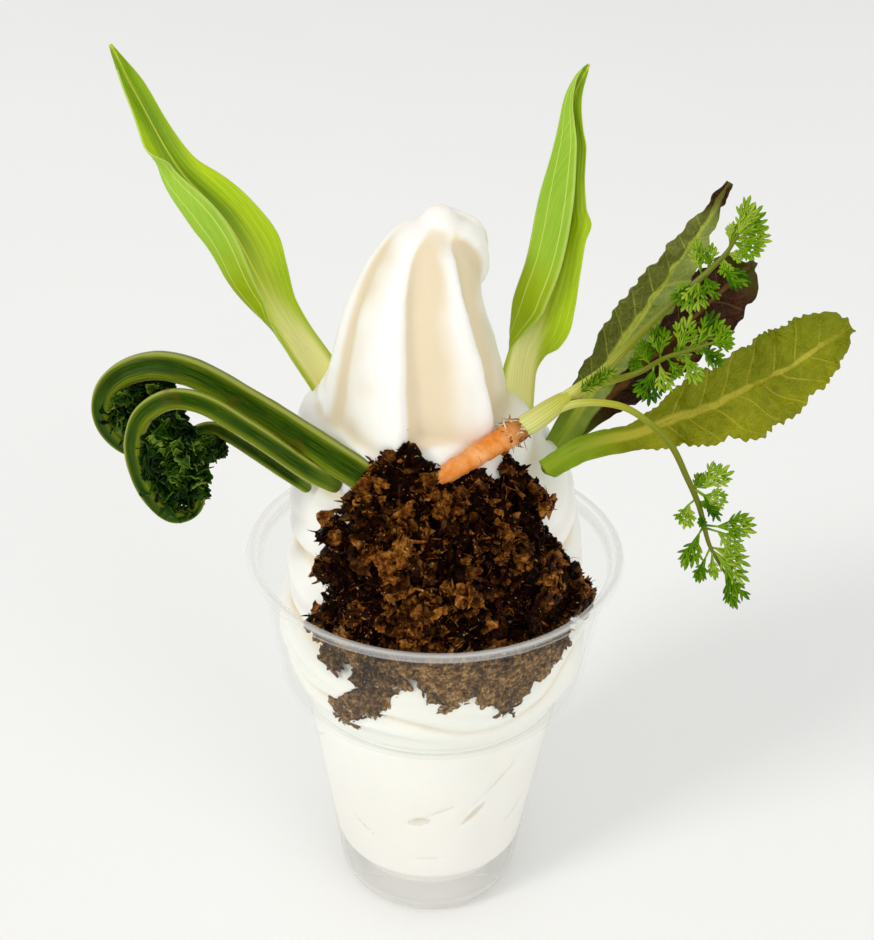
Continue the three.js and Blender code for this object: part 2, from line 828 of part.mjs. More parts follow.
function crumbHeap(cutters) {
  const random = randomFrom(HEAP.seed);
  const { rows, columns } = HEAP;
  const lumps = Array.from({ length: (rows + 1) * (columns + 1) }, () => lerp(0.965, 1.03, random()));
  const pieces = [
    bend(columns + 3, rows, (j, i) => {
      const z = lerp(HEAP.bottom, HEAP.top, i / rows);
      // the last two points of each ring lie inside the soft serve, which is cut away below
      if (j > columns) return heapSurface(j === columns + 1 ? 0.6 : -0.6, z, 0.6);
      const share = (j / columns) * 2 - 1;
      const tongue = i ? 0 : HEAP.tongues * Math.abs(Math.cos(1.5 * Math.PI * share));
      return heapSurface(share, z - tongue, lumps[i * (columns + 1) + j]);
    }),
  ];
  const [tip, crown] = [CARROT_ROOT[0], CARROT_ROOT[CARROT_ROOT.length - 1]];
  const root = new THREE.Line3(vec(...tip.slice(0, 3)), vec(...crown.slice(0, 3)));
  for (let i = 0; i < HEAP.crumbs; i++) {
    const share = lerp(-1, 1, fraction(i * 0.618034 + 0.1 * random()));
    const z = lerp(HEAP.bottom, HEAP.top, (i + random()) / HEAP.crumbs);
    const middle = heapSurface(share, z, 0.99);
    const size = lerp(2.2, 4.4, random());
    const clear = root.closestPointToPoint(middle, true, vec()).distanceTo(middle);
    if (clear > size + CARROT_ROOT[2][3]) pieces.push(crumb(random, middle, size));
  }
  return largest(cutBy(union(pieces).intersect(cupInside(GAP)), cutters));
}

// ---------------------------------------------------------------- the group
const COLOURS = {
  cup: { color: 0xf4f6f6, roughness: 0.08, opacity: 0.35, transparent: true },
  soft_serve: { color: 0xfbf7ee, roughness: 0.55 },
  crumb: { color: 0x38200f, roughness: 0.7 },
  carrot: { color: 0xe98a45, roughness: 0.5 },
  hosta: { color: 0x9cc41c, roughness: 0.4 },
  fiddlehead: { color: 0x3f6b16, roughness: 0.4 },
  lettuce: { color: 0x7d8a1c, roughness: 0.5 },
  lettuce_red: { color: 0x3d1d10, roughness: 0.5 },
};
const materials = Object.fromEntries(
  Object.entries(COLOURS).map(([name, look]) => [
    name,
    new THREE.MeshStandardMaterial({ name, metalness: 0, ...look }),
  ]),
);

// Every piece that stands in the soft serve or the crumbs, as a function of how far it is grown.
const planted = {
  hosta_leaf_left: [(grow) => leaf(HOSTA_LEFT, LEAF_FOOT * grow), "hosta"],
  hosta_leaf_right: [(grow) => leaf(HOSTA_RIGHT, LEAF_FOOT * grow), "hosta"],
  lettuce_leaf_side: [(grow) => leaf(LETTUCE_SIDE, LEAF_FOOT * grow), "lettuce"],
  lettuce_leaf_upright: [(grow) => leaf(LETTUCE_UPRIGHT, LEAF_FOOT * grow), "lettuce"],
  lettuce_leaf_red: [(grow) => leaf(LETTUCE_RED, LEAF_FOOT * grow), "lettuce_red"],
  fiddlehead_back: [(grow) => fiddlehead(FIDDLEHEADS.back, grow), "fiddlehead"],
  fiddlehead_front: [(grow) => fiddlehead(FIDDLEHEADS.front, grow), "fiddlehead"],
  fiddlehead_small: [(grow) => fiddlehead(FIDDLEHEADS.small, grow), "fiddlehead"],
};

const garden = new THREE.Group();
function addNode(name, solid, material) {
  const mesh = new THREE.Mesh(geometryFrom(solid), materials[material]);
  mesh.name = name;
  garden.add(mesh);
}

const cutters = [carrotRoot(GAP), ...Object.values(planted).map(([make]) => make(GAP))];
const cutBy = (solid, tools) => tools.reduce((body, tool) => body.subtract(tool), solid);
addNode("cup", cup(), "cup");
addNode("soft_serve", largest(cutBy(cream(), cutters)), "soft_serve");
addNode("crumb_heap", crumbHeap([cream(GAP), ...cutters]), "crumb");
addNode("carrot", carrot(), "carrot");
for (const [name, [make, material]] of Object.entries(planted)) addNode(name, make(0), material);

export default garden;
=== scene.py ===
"""The looks of a soft serve cup planted like a small vegetable garden.

The object's lengths are in millimetres in this file and become metres in make_mesh. The lights are
placed in metres. +Z is up, -Y is the front and the origin is the middle of the cup's flat underside,
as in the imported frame.
"""
import functools
import itertools
import math

import bmesh
import bpy
import numpy as np
from mathutils import Matrix, Vector


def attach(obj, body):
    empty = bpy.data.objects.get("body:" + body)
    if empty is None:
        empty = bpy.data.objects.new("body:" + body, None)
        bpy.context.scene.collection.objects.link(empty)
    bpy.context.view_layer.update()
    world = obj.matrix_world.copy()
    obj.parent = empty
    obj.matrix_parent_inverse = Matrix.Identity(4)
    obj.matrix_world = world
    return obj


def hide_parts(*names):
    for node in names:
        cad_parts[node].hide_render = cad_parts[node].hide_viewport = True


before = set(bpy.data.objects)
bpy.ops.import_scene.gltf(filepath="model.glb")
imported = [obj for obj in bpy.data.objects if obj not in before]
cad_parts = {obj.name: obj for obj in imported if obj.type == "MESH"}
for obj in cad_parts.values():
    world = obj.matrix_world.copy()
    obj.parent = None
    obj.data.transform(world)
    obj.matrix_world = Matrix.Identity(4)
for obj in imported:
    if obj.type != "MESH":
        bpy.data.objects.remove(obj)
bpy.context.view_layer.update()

MM = 0.001
TAU = 2 * math.pi

# ---------------------------------------------------------------- driving dimensions
CUP = dict(
    height=111,  # rim to table
    rim_radius=48.98,  # outside of the rolled lip
    bead_radius=1.1,
    lip_depth=3.2,  # from the rim down to the wall's top
    wall_top=45.8,  # outside of the collar, just under the lip
    collar=41.3,  # outside of the collar, just above the step
    collar_bottom=77,
    step=35,  # outside of the body, just under the step
    step_height=70,
    base=26,  # outside of the body, just above the base corner
    corner=7.5,
    wall=0.9,
    segments=168,
)
# Under and over the lip's roll: how far out from the wall's top and how far under the rim.
UNDER_LIP = ((0.15, 2.2), (0.5, 1.7), (1.1, 1.6))
OVER_LIP = ((1.6, 0.15), (0.6, 0.5), (-0.2, 1.3))
REACH = 0.25  # how far the soft serve reaches into the wall that it is pressed to

CREAM = dict(
    floor=1.3,
    join=71,  # height where the pressed lower part meets the coil
    pitch=18.5,  # rise of one turn of the coil
    crease_start=88,  # height of the seam on the +X side
    crease_depth=3.2,
    half_crease_depth=1.5,  # of the weaker seam halfway between two turns
    ring_step=0.8,
    segments=300,
    voxel=0.85,
)
# radius and height over the floor of the rounded foot, clear of the cup's bottom corner
CREAM_FOOT = ((0, 0), (7, 0), (13, 1.8), (18, 5), (22.4, 9.6), (24.9, 15.7))
# height and outer radius of the coiled column
CREAM_COLUMN = (
    (70, 33), (72, 36.2), (76, 37.6), (80, 39.6), (88, 41), (95, 40.4), (100, 38.4), (108, 38.2),
    (116, 37.2), (125, 36.4), (132, 34.6), (140, 31.8), (147, 28.6), (152, 25.8), (155, 22.5),
    (157, 17.5), (158.3, 8),
)
TOP_TILT = 2.6  # how much higher the top coil lies on the -X side
# height and sideways shift of the column's middle
LEAN_X = ((110, 0), (130, -1), (150, -4.5), (182, -2))
LEAN_Y = ((130, 0), (160, 2.5), (182, 3.5))
LEAN_START = 100  # height under which the column stands upright

# The drawn-up peak: points of its middle line, with the radius there.
PEAK = (
    (-5.4, -1, 130, 21.5), (-5.2, -2.6, 142, 22.8), (-5, -4, 155, 22.4), (-5.4, -4.4, 166, 20.2),
    (-5.3, -4.2, 177, 17), (-4, -3.6, 187, 13.2), (-2.5, -3.2, 194, 9.4), (-0.9, -3, 198.4, 4.6),
)
PEAK_TAIL = (
    (-4.2, -2, 188, 7.4), (-0.2, -1.2, 194.2, 7.4), (4.4, 0.2, 193.8, 6.1), (7, 1.7, 189.2, 4.6),
    (7.8, 3, 184.8, 3.1), (7.5, 4, 181.2, 1.3),
)
# The peak's lobes rise from one groove to a ridge and drop sharply into the next. Where the grooves
# lie, in degrees from the one at the front, and their depth as a share of the radius.
PEAK_GROOVES = (-62, 0, 62, 134, 212, 298)
PEAK_DEPTHS = (0.13, 0.23, 0.22, 0.2, 0.2, 0.13)
PEAK_RIDGE = 0.8  # how far across a lobe its ridge stands
PEAK_RISE = (0.55, 1.4, 0.8, 0.8, 0.8)  # power of each lobe's rise: under 1 is full, over 1 hollow
# Direction of the groove at the front, along the peak, clockwise from -X in radians.
PEAK_FRONT = ((0, -1.66), (0.35, -1.6), (0.6, -1.56), (0.8, -1.42), (1, -1.2))


# ---------------------------------------------------------------- small mathematics
def smooth(t):
    t = np.clip(t, 0, 1)
    return t * t * (3 - 2 * t)


def fraction(x):
    return x - np.floor(x)


def lerp(a, b, t):
    return a + (b - a) * t


def unit(v):
    return v / np.maximum(np.linalg.norm(v, axis=-1, keepdims=True), 1e-9)


def xyz(x, y, z):
    """Points from their coordinates, each of which is a number or an array."""
    return np.stack(np.broadcast_arrays(x, y, z), -1)


def through(*pairs):
    """A smooth function through (position, value) pairs, level beyond both ends and with no overshoot."""
    x, y = np.array(pairs, float).T
    gap = np.diff(x)
    rise = np.diff(y) / gap
    slope = np.zeros_like(x)
    both = rise[1:] + rise[:-1]
    same_way = rise[1:] * rise[:-1] > 0
    slope[1:-1] = np.where(same_way, 2 * rise[1:] * rise[:-1] / np.where(both == 0, 1, both), 0)
    slope[0], slope[-1] = rise[0], rise[-1]

    def at(t):
        t = np.clip(t, x[0], x[-1])
        i = np.clip(np.searchsorted(x, t, side="right") - 1, 0, len(x) - 2)
        u = (t - x[i]) / gap[i]
        start = (1 + 2 * u) * (1 - u) ** 2 * y[i] + u * (1 - u) ** 2 * gap[i] * slope[i]
        end = u * u * (3 - 2 * u) * y[i + 1] + u * u * (u - 1) * gap[i] * slope[i + 1]
        return start + end

    return at


def noise(points, size, seed):
    """Smooth lumps of that size, from -1 to 1."""
    table = np.random.default_rng(seed).random((32, 32, 32)) * 2 - 1
    scaled = np.asarray(points, float) / size
    cell = np.floor(scaled).astype(int)
    share = smooth(scaled - cell)
    total = 0
    for corner in itertools.product((0, 1), repeat=3):
        weight = np.prod(np.where(corner, share, 1 - share), axis=-1)
        x, y, z = np.moveaxis((cell + corner) % 32, -1, 0)
        total = total + weight * table[x, y, z]
    return total


class Line:
    """A curve through [x, y, z, ...] points, by share of its length. A fourth value is its radius."""

    def __init__(self, points, steps=50):
        given = np.array(points, float)
        xyz = given[:, :3]
        p = np.vstack([2 * xyz[0] - xyz[1], xyz, 2 * xyz[-1] - xyz[-2]])
        knot = np.concatenate([[0], np.cumsum(np.sqrt(np.linalg.norm(np.diff(p, axis=0), axis=1)))])
        dense, index = [], []
        for i in range(1, len(p) - 2):
            last = i == len(p) - 3
            share = np.linspace(0, 1, steps + last, endpoint=last)
            t = lerp(knot[i], knot[i + 1], share)[:, None]
            dense.append(self._between(p[i - 1:i + 3], knot[i - 1:i + 3], t))
            index.append(i - 1 + share)
        self.points = np.vstack(dense)
        run = np.concatenate([[0], np.cumsum(np.linalg.norm(np.diff(self.points, axis=0), axis=1))])
        self.length = run[-1]
        self.share = run / run[-1]
        if given.shape[1] > 3:
            self._radius = through(*enumerate(given[:, 3]))(np.concatenate(index))

    @staticmethod
    def _between(p, k, t):
        a = [((k[j + 1] - t) * p[j] + (t - k[j]) * p[j + 1]) / (k[j + 1] - k[j]) for j in range(3)]
        b = [((k[j + 2] - t) * a[j] + (t - k[j]) * a[j + 1]) / (k[j + 2] - k[j]) for j in range(2)]
        return ((k[2] - t) * b[0] + (t - k[1]) * b[1]) / (k[2] - k[1])

    def at(self, t):
        return np.stack([np.interp(t, self.share, column) for column in self.points.T], -1)

    def radius(self, t):
        return np.interp(t, self.share, self._radius)

    def along(self, t):
        return unit(self.at(np.minimum(t + 0.004, 1)) - self.at(np.maximum(t - 0.004, 0)))


# ---------------------------------------------------------------- meshes
def grid_faces(rows, columns, round_rows=False, round_columns=False):
    i = np.arange(rows if round_rows else rows - 1)[:, None]
    j = np.arange(columns if round_columns else columns - 1)[None, :]
    below, right = (i + 1) % rows, (j + 1) % columns
    corners = (i * columns + j, i * columns + right, below * columns + right, below * columns + j)
    return np.stack(np.broadcast_arrays(*corners), -1).reshape(-1, 4)


class Shape:
    """Points, faces and named values for each point, gathered for one mesh."""

    def __init__(self):
        self.points, self.faces, self.values, self.count = [], [], {}, 0

    def add(self, points, faces, **values):
        points = np.asarray(points, float).reshape(-1, 3)
        volume = 0
        for group in faces:
            corner = points[group]
            for k in range(1, group.shape[1] - 1):
                volume += np.einsum("ij,ij", corner[:, 0], np.cross(corner[:, k], corner[:, k + 1]))
        for group in faces:
            self.faces.append((group if volume > 0 else group[:, ::-1]) + self.count)
        for name, value in values.items():
            full = np.broadcast_to(np.asarray(value, float).ravel(), len(points))
            self.values.setdefault(name, []).append(full)
        self.points.append(points)
        self.count += len(points)
        return self


def make_mesh(name, shape):
    mesh = bpy.data.meshes.new(name)
    points = np.vstack(shape.points) * MM
    mesh.vertices.add(len(points))
    mesh.vertices.foreach_set("co", points.astype(np.float32).ravel())
    sizes = np.concatenate([np.full(len(group), group.shape[1]) for group in shape.faces])
    corners = np.concatenate([group.ravel() for group in shape.faces])
    mesh.loops.add(len(corners))
    mesh.loops.foreach_set("vertex_index", corners.astype(np.int32))
    mesh.polygons.add(len(sizes))
    mesh.polygons.foreach_set("loop_start", (np.cumsum(sizes) - sizes).astype(np.int32))
    mesh.update(calc_edges=True)
    mesh.validate()
    for key, parts in shape.values.items():
        attribute = mesh.attributes.new(key, "FLOAT", "POINT")
        attribute.data.foreach_set("value", np.concatenate(parts).astype(np.float32))
    mesh.shade_smooth()
    return mesh


def piece(name, shape, material, node):
    """Puts a shape or mesh in the scene as a piece of the object that stands for a CAD node."""
    mesh = make_mesh(name, shape) if isinstance(shape, Shape) else shape
    mesh.materials.append(material)
    shown = bpy.data.objects.new(name, mesh)
    bpy.context.scene.collection.objects.link(shown)
    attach(shown, "root")
    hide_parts(node)


def add_rings(shape, rings, **values):
    """Adds the closed skin over a row of rings of points, with a fan at each end."""
    rows, sides = rings.shape[:2]
    ring = np.arange(sides)
    after = (ring + 1) % sides
    last, hub = (rows - 1) * sides, np.full(sides, rows * sides)
    fans = [np.stack([after, ring, hub], -1), np.stack([ring + last, after + last, hub + 1], -1)]
    points = np.vstack([rings.reshape(-1, 3), rings[0].mean(0), rings[-1].mean(0)])
    full = {}
    for key, value in values.items():
        value = np.broadcast_to(value, (rows, sides))
        full[key] = np.concatenate([value.ravel(), [value[0].mean(), value[-1].mean()]])
    shape.add(points, [grid_faces(rows, sides, round_columns=True), *fans], **full)


def lathe(shape, heights, radii, shift_x=0, shift_y=0, **values):
    """Adds a closed solid from rings round an upright line. radii holds a row for each height."""
    angle = np.arange(radii.shape[1]) / radii.shape[1] * TAU
    x = np.reshape(shift_x, (-1, 1)) + radii * np.cos(angle)
    y = np.reshape(shift_y, (-1, 1)) + radii * np.sin(angle)
    add_rings(shape, xyz(x, y, np.asarray(heights, float)[:, None]), **values)


def sweep(shape, line, facing, rings, sides, radius, round_ends=(True, True), values=None):
    """Adds a closed tube round a line. radius(t, angle) is in mm, with the angle measured from the
    side direction towards the facing, and values gives named values in the same way."""
    t = np.linspace(0, 1, rings)
    shift, shrink = np.zeros(rings), np.ones(rings)
    steps = np.arange(4, 0, -1) * TAU / 17
    for end, is_round in zip((0, 1), round_ends):
        if not is_round:
            continue
        size = float(np.mean(radius(np.array([[end]]), np.zeros((1, 1)))))
        cap = (np.full(4, end), np.sin(steps) * size * (1 if end else -1), np.cos(steps))
        cap = [part[::-1] for part in cap] if end else cap
        t, shift, shrink = [
            np.concatenate((old, new) if end else (new, old)) for old, new in zip((t, shift, shrink), cap)
        ]
    along = line.along(t)
    side = unit(np.cross(along, np.asarray(facing, float)))
    out = np.cross(side, along)
    angle = np.arange(sides) / sides * TAU
    size = radius(t[:, None], angle[None, :]) * shrink[:, None]
    middle = line.at(t) + along * shift[:, None]
    points = middle[:, None] + size[..., None] * (
        np.cos(angle)[None, :, None] * side[:, None] + np.sin(angle)[None, :, None] * out[:, None]
    )
    add_rings(shape, points, **(values(t[:, None], angle[None, :]) if values else {}))


def thin_solid(shape, grid, half, **values):
    """Adds a solid on both sides of a grid of points. The value side is 1 on its upper face and -1
    on its lower one."""
    rows, columns = grid.shape[:2]
    normal = unit(np.cross(np.gradient(grid, axis=1), np.gradient(grid, axis=0)))
    upper = grid + normal * half[..., None]
    lower = grid - normal * half[..., None]
    faces = grid_faces(rows, columns)
    under = rows * columns
    index = np.arange(under).reshape(rows, columns)
    rim = np.concatenate([index[0, :-1], index[:-1, -1], index[-1, :0:-1], index[:0:-1, 0]])
    after = np.roll(rim, -1)
    band = np.stack([after, rim, rim + under, after + under], -1)
    doubled = {key: np.tile(np.broadcast_to(v, (rows, columns)).ravel(), 2) for key, v in values.items()}
    doubled["side"] = np.repeat([1.0, -1.0], under)
    points = np.vstack([upper.reshape(-1, 3), lower.reshape(-1, 3)])
    shape.add(points, [faces, faces[:, ::-1] + under, band], **doubled)


# ---------------------------------------------------------------- material helpers
def colour(code):
    """Linear red, green, blue and alpha of a web colour."""
    parts = [int(code[i:i + 2], 16) / 255 for i in (0, 2, 4)]
    return (*[c / 12.92 if c <= 0.04045 else ((c + 0.055) / 1.055) ** 2.4 for c in parts], 1)


class Value:
    """A number, colour or shader from one of a material's nodes, with the usual arithmetic."""

    def __init__(self, recipe, socket):
        self.recipe, self.socket = recipe, socket

    def math(self, operation, other=0.0):
        return self.recipe.add("Math", {0: self, 1: other}, operation=operation)

    def __add__(self, other):
        return self.math("ADD", other)

    def __sub__(self, other):
        return self.math("SUBTRACT", other)

    def __mul__(self, other):
        return self.math("MULTIPLY", other)

    def __truediv__(self, other):
        return self.math("DIVIDE", other)

    def __pow__(self, other):
        return self.math("POWER", other)

    def __abs__(self):
        return self.math("ABSOLUTE")

    def ease(self, low, high, start=0.0, end=1.0):
        """Goes smoothly from start to end while the value goes from low to high."""
        inputs = {"Value": self, "From Min": low, "From Max": high, "To Min": start, "To Max": end}
        return self.recipe.add("MapRange", inputs, interpolation_type="SMOOTHSTEP")

    def ramp(self, *stops):
        """Colours by the value, from pairs of a position and a web colour."""
        tone = self.recipe.add("ValToRGB", {"Fac": self})
        elements = tone.socket.node.color_ramp.elements
        while len(elements) < len(stops):
            elements.new(0.5)
        for element, (position, code) in zip(elements, stops):
            element.position = position
            element.color = colour(code)
        return tone


class Recipe:
    """A material and short ways to add its nodes."""

    def __init__(self, name):
        self.material = bpy.data.materials.new(name)
        self.material.use_nodes = True
        self.tree = self.material.node_tree
        self.tree.nodes.clear()
        self.output = self.tree.nodes.new("ShaderNodeOutputMaterial")

    def add(self, kind, inputs=(), output=0, **settings):
        """Adds a node, sets or links its inputs and gives one of its outputs."""
        node = self.tree.nodes.new("ShaderNode" + kind)
        for key, value in settings.items():
            setattr(node, key, value)
        for key, value in dict(inputs).items():
            if isinstance(value, Value):
                self.tree.links.new(value.socket, node.inputs[key])
            else:
                node.inputs[key].default_value = value
        return Value(self, node.outputs[output])

    def values(self, *names):
        """The named values that the mesh holds for each point."""
        return [self.add("Attribute", output="Fac", attribute_name=name) for name in names]

    def noise(self, scale, detail=3, roughness=0.55, place=None):
        place = place or self.add("TexCoord", output="Object")
        inputs = {"Vector": place, "Scale": scale, "Detail": detail, "Roughness": roughness}
        return self.add("TexNoise", inputs)

    def flat_place(self, x, y):
        return self.add("CombineXYZ", {"X": x, "Y": y})

    def mix(self, factor, a, b):
        a, b = [colour(c) if isinstance(c, str) else c for c in (a, b)]
        return self.add("Mix", {"Factor": factor, 6: a, 7: b}, 2, data_type="RGBA")

    def layers(self, base, *layers):
        """Lays colours over a base in turn, each by its own factor."""
        for factor, tone in layers:
            base = self.mix(factor, base, tone)
        return base

    def bump(self, height, strength, distance):
        inputs = {"Height": height, "Strength": strength, "Distance": distance * MM}
        return self.add("Bump", inputs)

    def surface(self, base, roughness, normal=None, glow=None, **more):
        """The finished material. glow is the subsurface's weight, its radii and its scale in mm."""
        inputs = {"Base Color": base, "Roughness": roughness}
        if normal:
            inputs["Normal"] = normal
        if glow:
            inputs["Subsurface Weight"], inputs["Subsurface Radius"] = glow[:2]
            inputs["Subsurface Scale"] = glow[2] * MM
        inputs.update({key.replace("_", " "): value for key, value in more.items()})
        return self.finish(self.add("BsdfPrincipled", inputs))

    def finish(self, shader):
        self.tree.links.new(shader.socket, self.output.inputs["Surface"])
        return self.material


# ---------------------------------------------------------------- stage and camera
def make_camera():
    target = Vector((-0.04, 0, 132.65)) * MM
    distance, elevation, roll = 342.1 * MM, math.radians(29.8), math.radians(1.362)
    back = Vector((0, -math.cos(elevation), math.sin(elevation)))
    right, up = Vector((1, 0, 0)), Vector((0, math.sin(elevation), math.cos(elevation)))
    turned_right = right * math.cos(roll) + up * math.sin(roll)
    turned_up = up * math.cos(roll) - right * math.sin(roll)
    data = bpy.data.cameras.new("camera")
    data.sensor_width = 36
    data.lens = 51.87
    data.clip_start = 0.01
    camera = bpy.data.objects.new("camera", data)
    rotation = Matrix((turned_right, turned_up, back)).transposed().to_4x4()
    camera.matrix_world = Matrix.Translation(target + back * distance) @ rotation
    bpy.context.scene.collection.objects.link(camera)
    bpy.context.scene.camera = camera


def make_light(name, place, target, size, power, tint):
    data = bpy.data.lights.new(name, "AREA")
    data.size = size
    data.energy = power
    data.color = tint
    light = bpy.data.objects.new(name, data)
    light.location = place
    light.rotation_euler = (Vector(target) - Vector(place)).to_track_quat("-Z", "Y").to_euler()
    bpy.context.scene.collection.objects.link(light)


def make_stage():
    world = bpy.data.worlds.new("studio")
    world.use_nodes = True
    world.node_tree.nodes["Background"].inputs["Color"].default_value = (1, 1, 1, 1)
    world.node_tree.nodes["Background"].inputs["Strength"].default_value = 0.74
    bpy.context.scene.world = world
    bpy.context.scene.view_settings.view_transform = "Standard"
    middle = (0, 0, 0.12)
    make_light("key", (-2.5, -1.9, 2.1), middle, 0.9, 45, (1, 0.99, 0.975))
    make_light("fill", (2.2, -2.4, 1.3), middle, 2.0, 22, (1, 0.99, 0.98))
    floor = Shape()
    half = 4000
    corners = [(-half, -half, 0), (half, -half, 0), (half, half, 0), (-half, half, 0)]
    floor.add(corners, [np.array([[0, 1, 2, 3]])])
    recipe = Recipe("floor")
    tone = recipe.noise(3, 2).ramp((0.3, "f9f9f7"), (0.7, "fbfbf9"))
    shown = bpy.data.objects.new("floor", make_mesh("floor", floor))
    shown.data.materials.append(recipe.surface(tone, 0.6))
    bpy.context.scene.collection.objects.link(shown)


# ---------------------------------------------------------------- the cup
def rounded(start, corner, end, steps):
    """Points of a rounded corner, without its last one."""
    t = np.linspace(0, 1, steps, endpoint=False)[:, None]
    start, corner, end = [np.array(p, float) for p in (start, corner, end)]
    return [tuple(p) for p in (1 - t) ** 2 * start + 2 * t * (1 - t) * corner + t * t * end]


def cup_wall(inset, steps=14):
    """The wall's profile of (radius, height) from the axis to the lip, moved inwards by inset."""
    floor = inset
    ledge = CUP["step_height"] + inset * 0.7
    under_lip = CUP["height"] - CUP["lip_depth"]
    base, step, collar, top = [CUP[key] - inset for key in ("base", "step", "collar", "wall_top")]
    return [
        (CUP["base"] - CUP["corner"] - 6, floor),
        *rounded((CUP["base"] - CUP["corner"], floor), (base - 0.8, floor), (base, CUP["corner"]), steps),
        (base, CUP["corner"]),
        (step, CUP["step_height"] - 2),
        *rounded((step + 0.2, ledge), (collar - 0.2, ledge + 0.6), (collar, CUP["collar_bottom"]), steps),
        (collar, CUP["collar_bottom"]),
        (lerp(collar, top, 0.97), lerp(CUP["collar_bottom"], under_lip, 0.97)),
        (top, under_lip),
    ]


def inner_wall():
    profile = np.array(cup_wall(CUP["wall"]))
    return lambda z: np.interp(z, profile[:, 1], profile[:, 0])


wall_radius = inner_wall()
# height and share of light that the plastic scatters there
CUP_VEIL = (
    (0, 0.5), (6, 0.42), (11, 0.08), (66, 0.06), (73, 0.03), (107.2, 0.02), (107.9, 0.3), (108.5, 0.03),
    (109.3, 0.03), (109.7, 0.36), (110.1, 0.03), (110.6, 0.03), (110.9, 0.5), (111, 0.5),
)


def make_cup():
    height, bead, top = CUP["height"], CUP["bead_radius"], CUP["wall_top"]
    angles = np.radians(np.linspace(-110, 90, 16))
    roll = [
        (CUP["rim_radius"] - bead + bead * math.cos(a), height - bead + bead * math.sin(a)) for a in angles
    ]
    under, over = [[(top + out, height - down) for out, down in part] for part in (UNDER_LIP, OVER_LIP)]
    profile = np.array([*cup_wall(0), *under, *roll, *over, *cup_wall(CUP["wall"])[::-1]])
    radii = np.repeat(profile[:, :1], CUP["segments"], axis=1)
    shape = Shape()
    lathe(shape, profile[:, 1], radii, veil=through(*CUP_VEIL)(profile[:, 1:]))
    piece("cup", shape, clear_plastic(), "cup")


def clear_plastic():
    recipe = Recipe("clear_plastic")
    haze = recipe.noise(14, 2)
    gloss = {
        "Base Color": haze.ramp((0.2, "f3f1ed"), (0.8, "faf8f4")),
        "Roughness": haze.ease(0.2, 0.8, 0.03, 0.07),
        "IOR": 1.55,
    }
    clear = {"Color": haze.ramp((0.2, "fcfdfc"), (0.8, "fefefe"))}
    edge = recipe.add("LayerWeight", {"Blend": 0.25}, "Facing")
    cover = edge**6.0 * 0.6 + recipe.values("veil")[0]
    both = {0: cover, 1: recipe.add("BsdfTransparent", clear), 2: recipe.add("BsdfPrincipled", gloss)}
    return recipe.finish(recipe.add("MixShader", both))


# ---------------------------------------------------------------- the soft serve
column_radius = through(*CREAM_COLUMN)
lean_x = through(*LEAN_X)
lean_y = through(*LEAN_Y)
cream_top = CREAM_COLUMN[-1][0]


def coil_turn(angle, z):
    """Where a point lies between two seams of the coil, from 0 to 1."""
    wander = 0.09 * np.sin(2 * angle + 0.12 * z) + 0.05 * np.sin(5 * angle - 0.07 * z + 1)
    wander = wander * (1 + 2 * smooth((100 - z) / 14))
    return fraction((z - CREAM["crease_start"]) / CREAM["pitch"] - angle / TAU + wander)


def arch(share):
    """A rounded strand with a sharp seam at each end, with no height on average."""
    return 2 * np.sqrt(share * (1 - share)) - 0.78


def smooth_cream_radius(angle, z):
    """Distance from the column's middle to its surface without the seams."""
    return column_radius(z + TOP_TILT * np.cos(angle) * smooth((z - 136) / 12))


def cream_radius(angle, z):
    """Distance from the column's middle to its surface, with the seams of the coil in it."""
    turn = coil_turn(angle, z)
    strands = CREAM["crease_depth"] * arch(turn)
    strands = strands + CREAM["half_crease_depth"] * arch(fraction(turn * 2 + 0.12))
    plain = smooth_cream_radius(angle, z)
    radius = plain + strands * smooth((z - 72) / 10) * np.clip(plain / 16, 0, 1)
    place = xyz(np.cos(angle) * 30, np.sin(angle) * 30, z)
    return radius + 0.8 * noise(place, 14, 3) * smooth((z - 74) / 10)


def make_cream_base():
    """The lower part, pressed to the cup's wall all round, with pockets of air left against it."""
    sides = 210
    foot_at = through(*[(radius, CREAM["floor"] + up) for radius, up in CREAM_FOOT])
    low = np.linspace(2, 24.9, 24)
    walls = np.arange(17.8, CREAM["join"] + 1.5, 0.8)
    heights = np.concatenate([foot_at(low), walls])
    radii = np.concatenate([low, wall_radius(walls) + REACH])
    radii = np.repeat(np.minimum(radii, 35)[:, None], sides, axis=1)
    angle = np.arange(sides)[None, :] / sides * TAU
    up = heights[:, None]
    for direction, height, wide, high, depth, slant in POCKETS:
        run = radii * ((angle - math.radians(direction) + math.pi) % TAU - math.pi)
        rise = up - height - slant * run
        near = np.clip(1 - np.abs(run) / wide, 0, 1) * np.clip(1 - np.abs(rise) / high, 0, 1)
        radii = radii - depth * smooth(near * 1.3)
    shape = Shape()
    lathe(shape, heights, radii)
    mesh = make_mesh("soft_serve_base", shape)
    # Painted shade: the cream turns beige in its creases and the pockets of air.
    paint_crease_shade(mesh)
    piece("soft_serve_base", mesh, cream_material(), "soft_serve")


# Pockets of air between the soft serve and the wall: direction in degrees from +X, height, half
# width and half height, depth and slant.
POCKETS = (
    (-95, 41.5, 3.8, 1.9, 1.9, 0.2),
    (-84, 46, 7, 0.9, 0.5, 0.5),
    (-67, 43, 4.4, 1.5, 1.4, 1.1),
    (-55, 54, 13, 1.0, 0.5, 1.0),
    (-89, 26, 8, 0.9, 0.4, 0.06),
    (-128, 33, 9, 1.0, 0.4, -0.5),
    (-35, 36, 8, 1.1, 0.6, 0.7),
    (-160, 55, 12, 1.1, 0.5, 0.8),
    (60, 45, 10, 1.0, 1.0, 0.9),
    (120, 38, 5, 2.4, 2.2, 0.4),
    (150, 58, 10, 0.9, 0.9, -0.8),
)


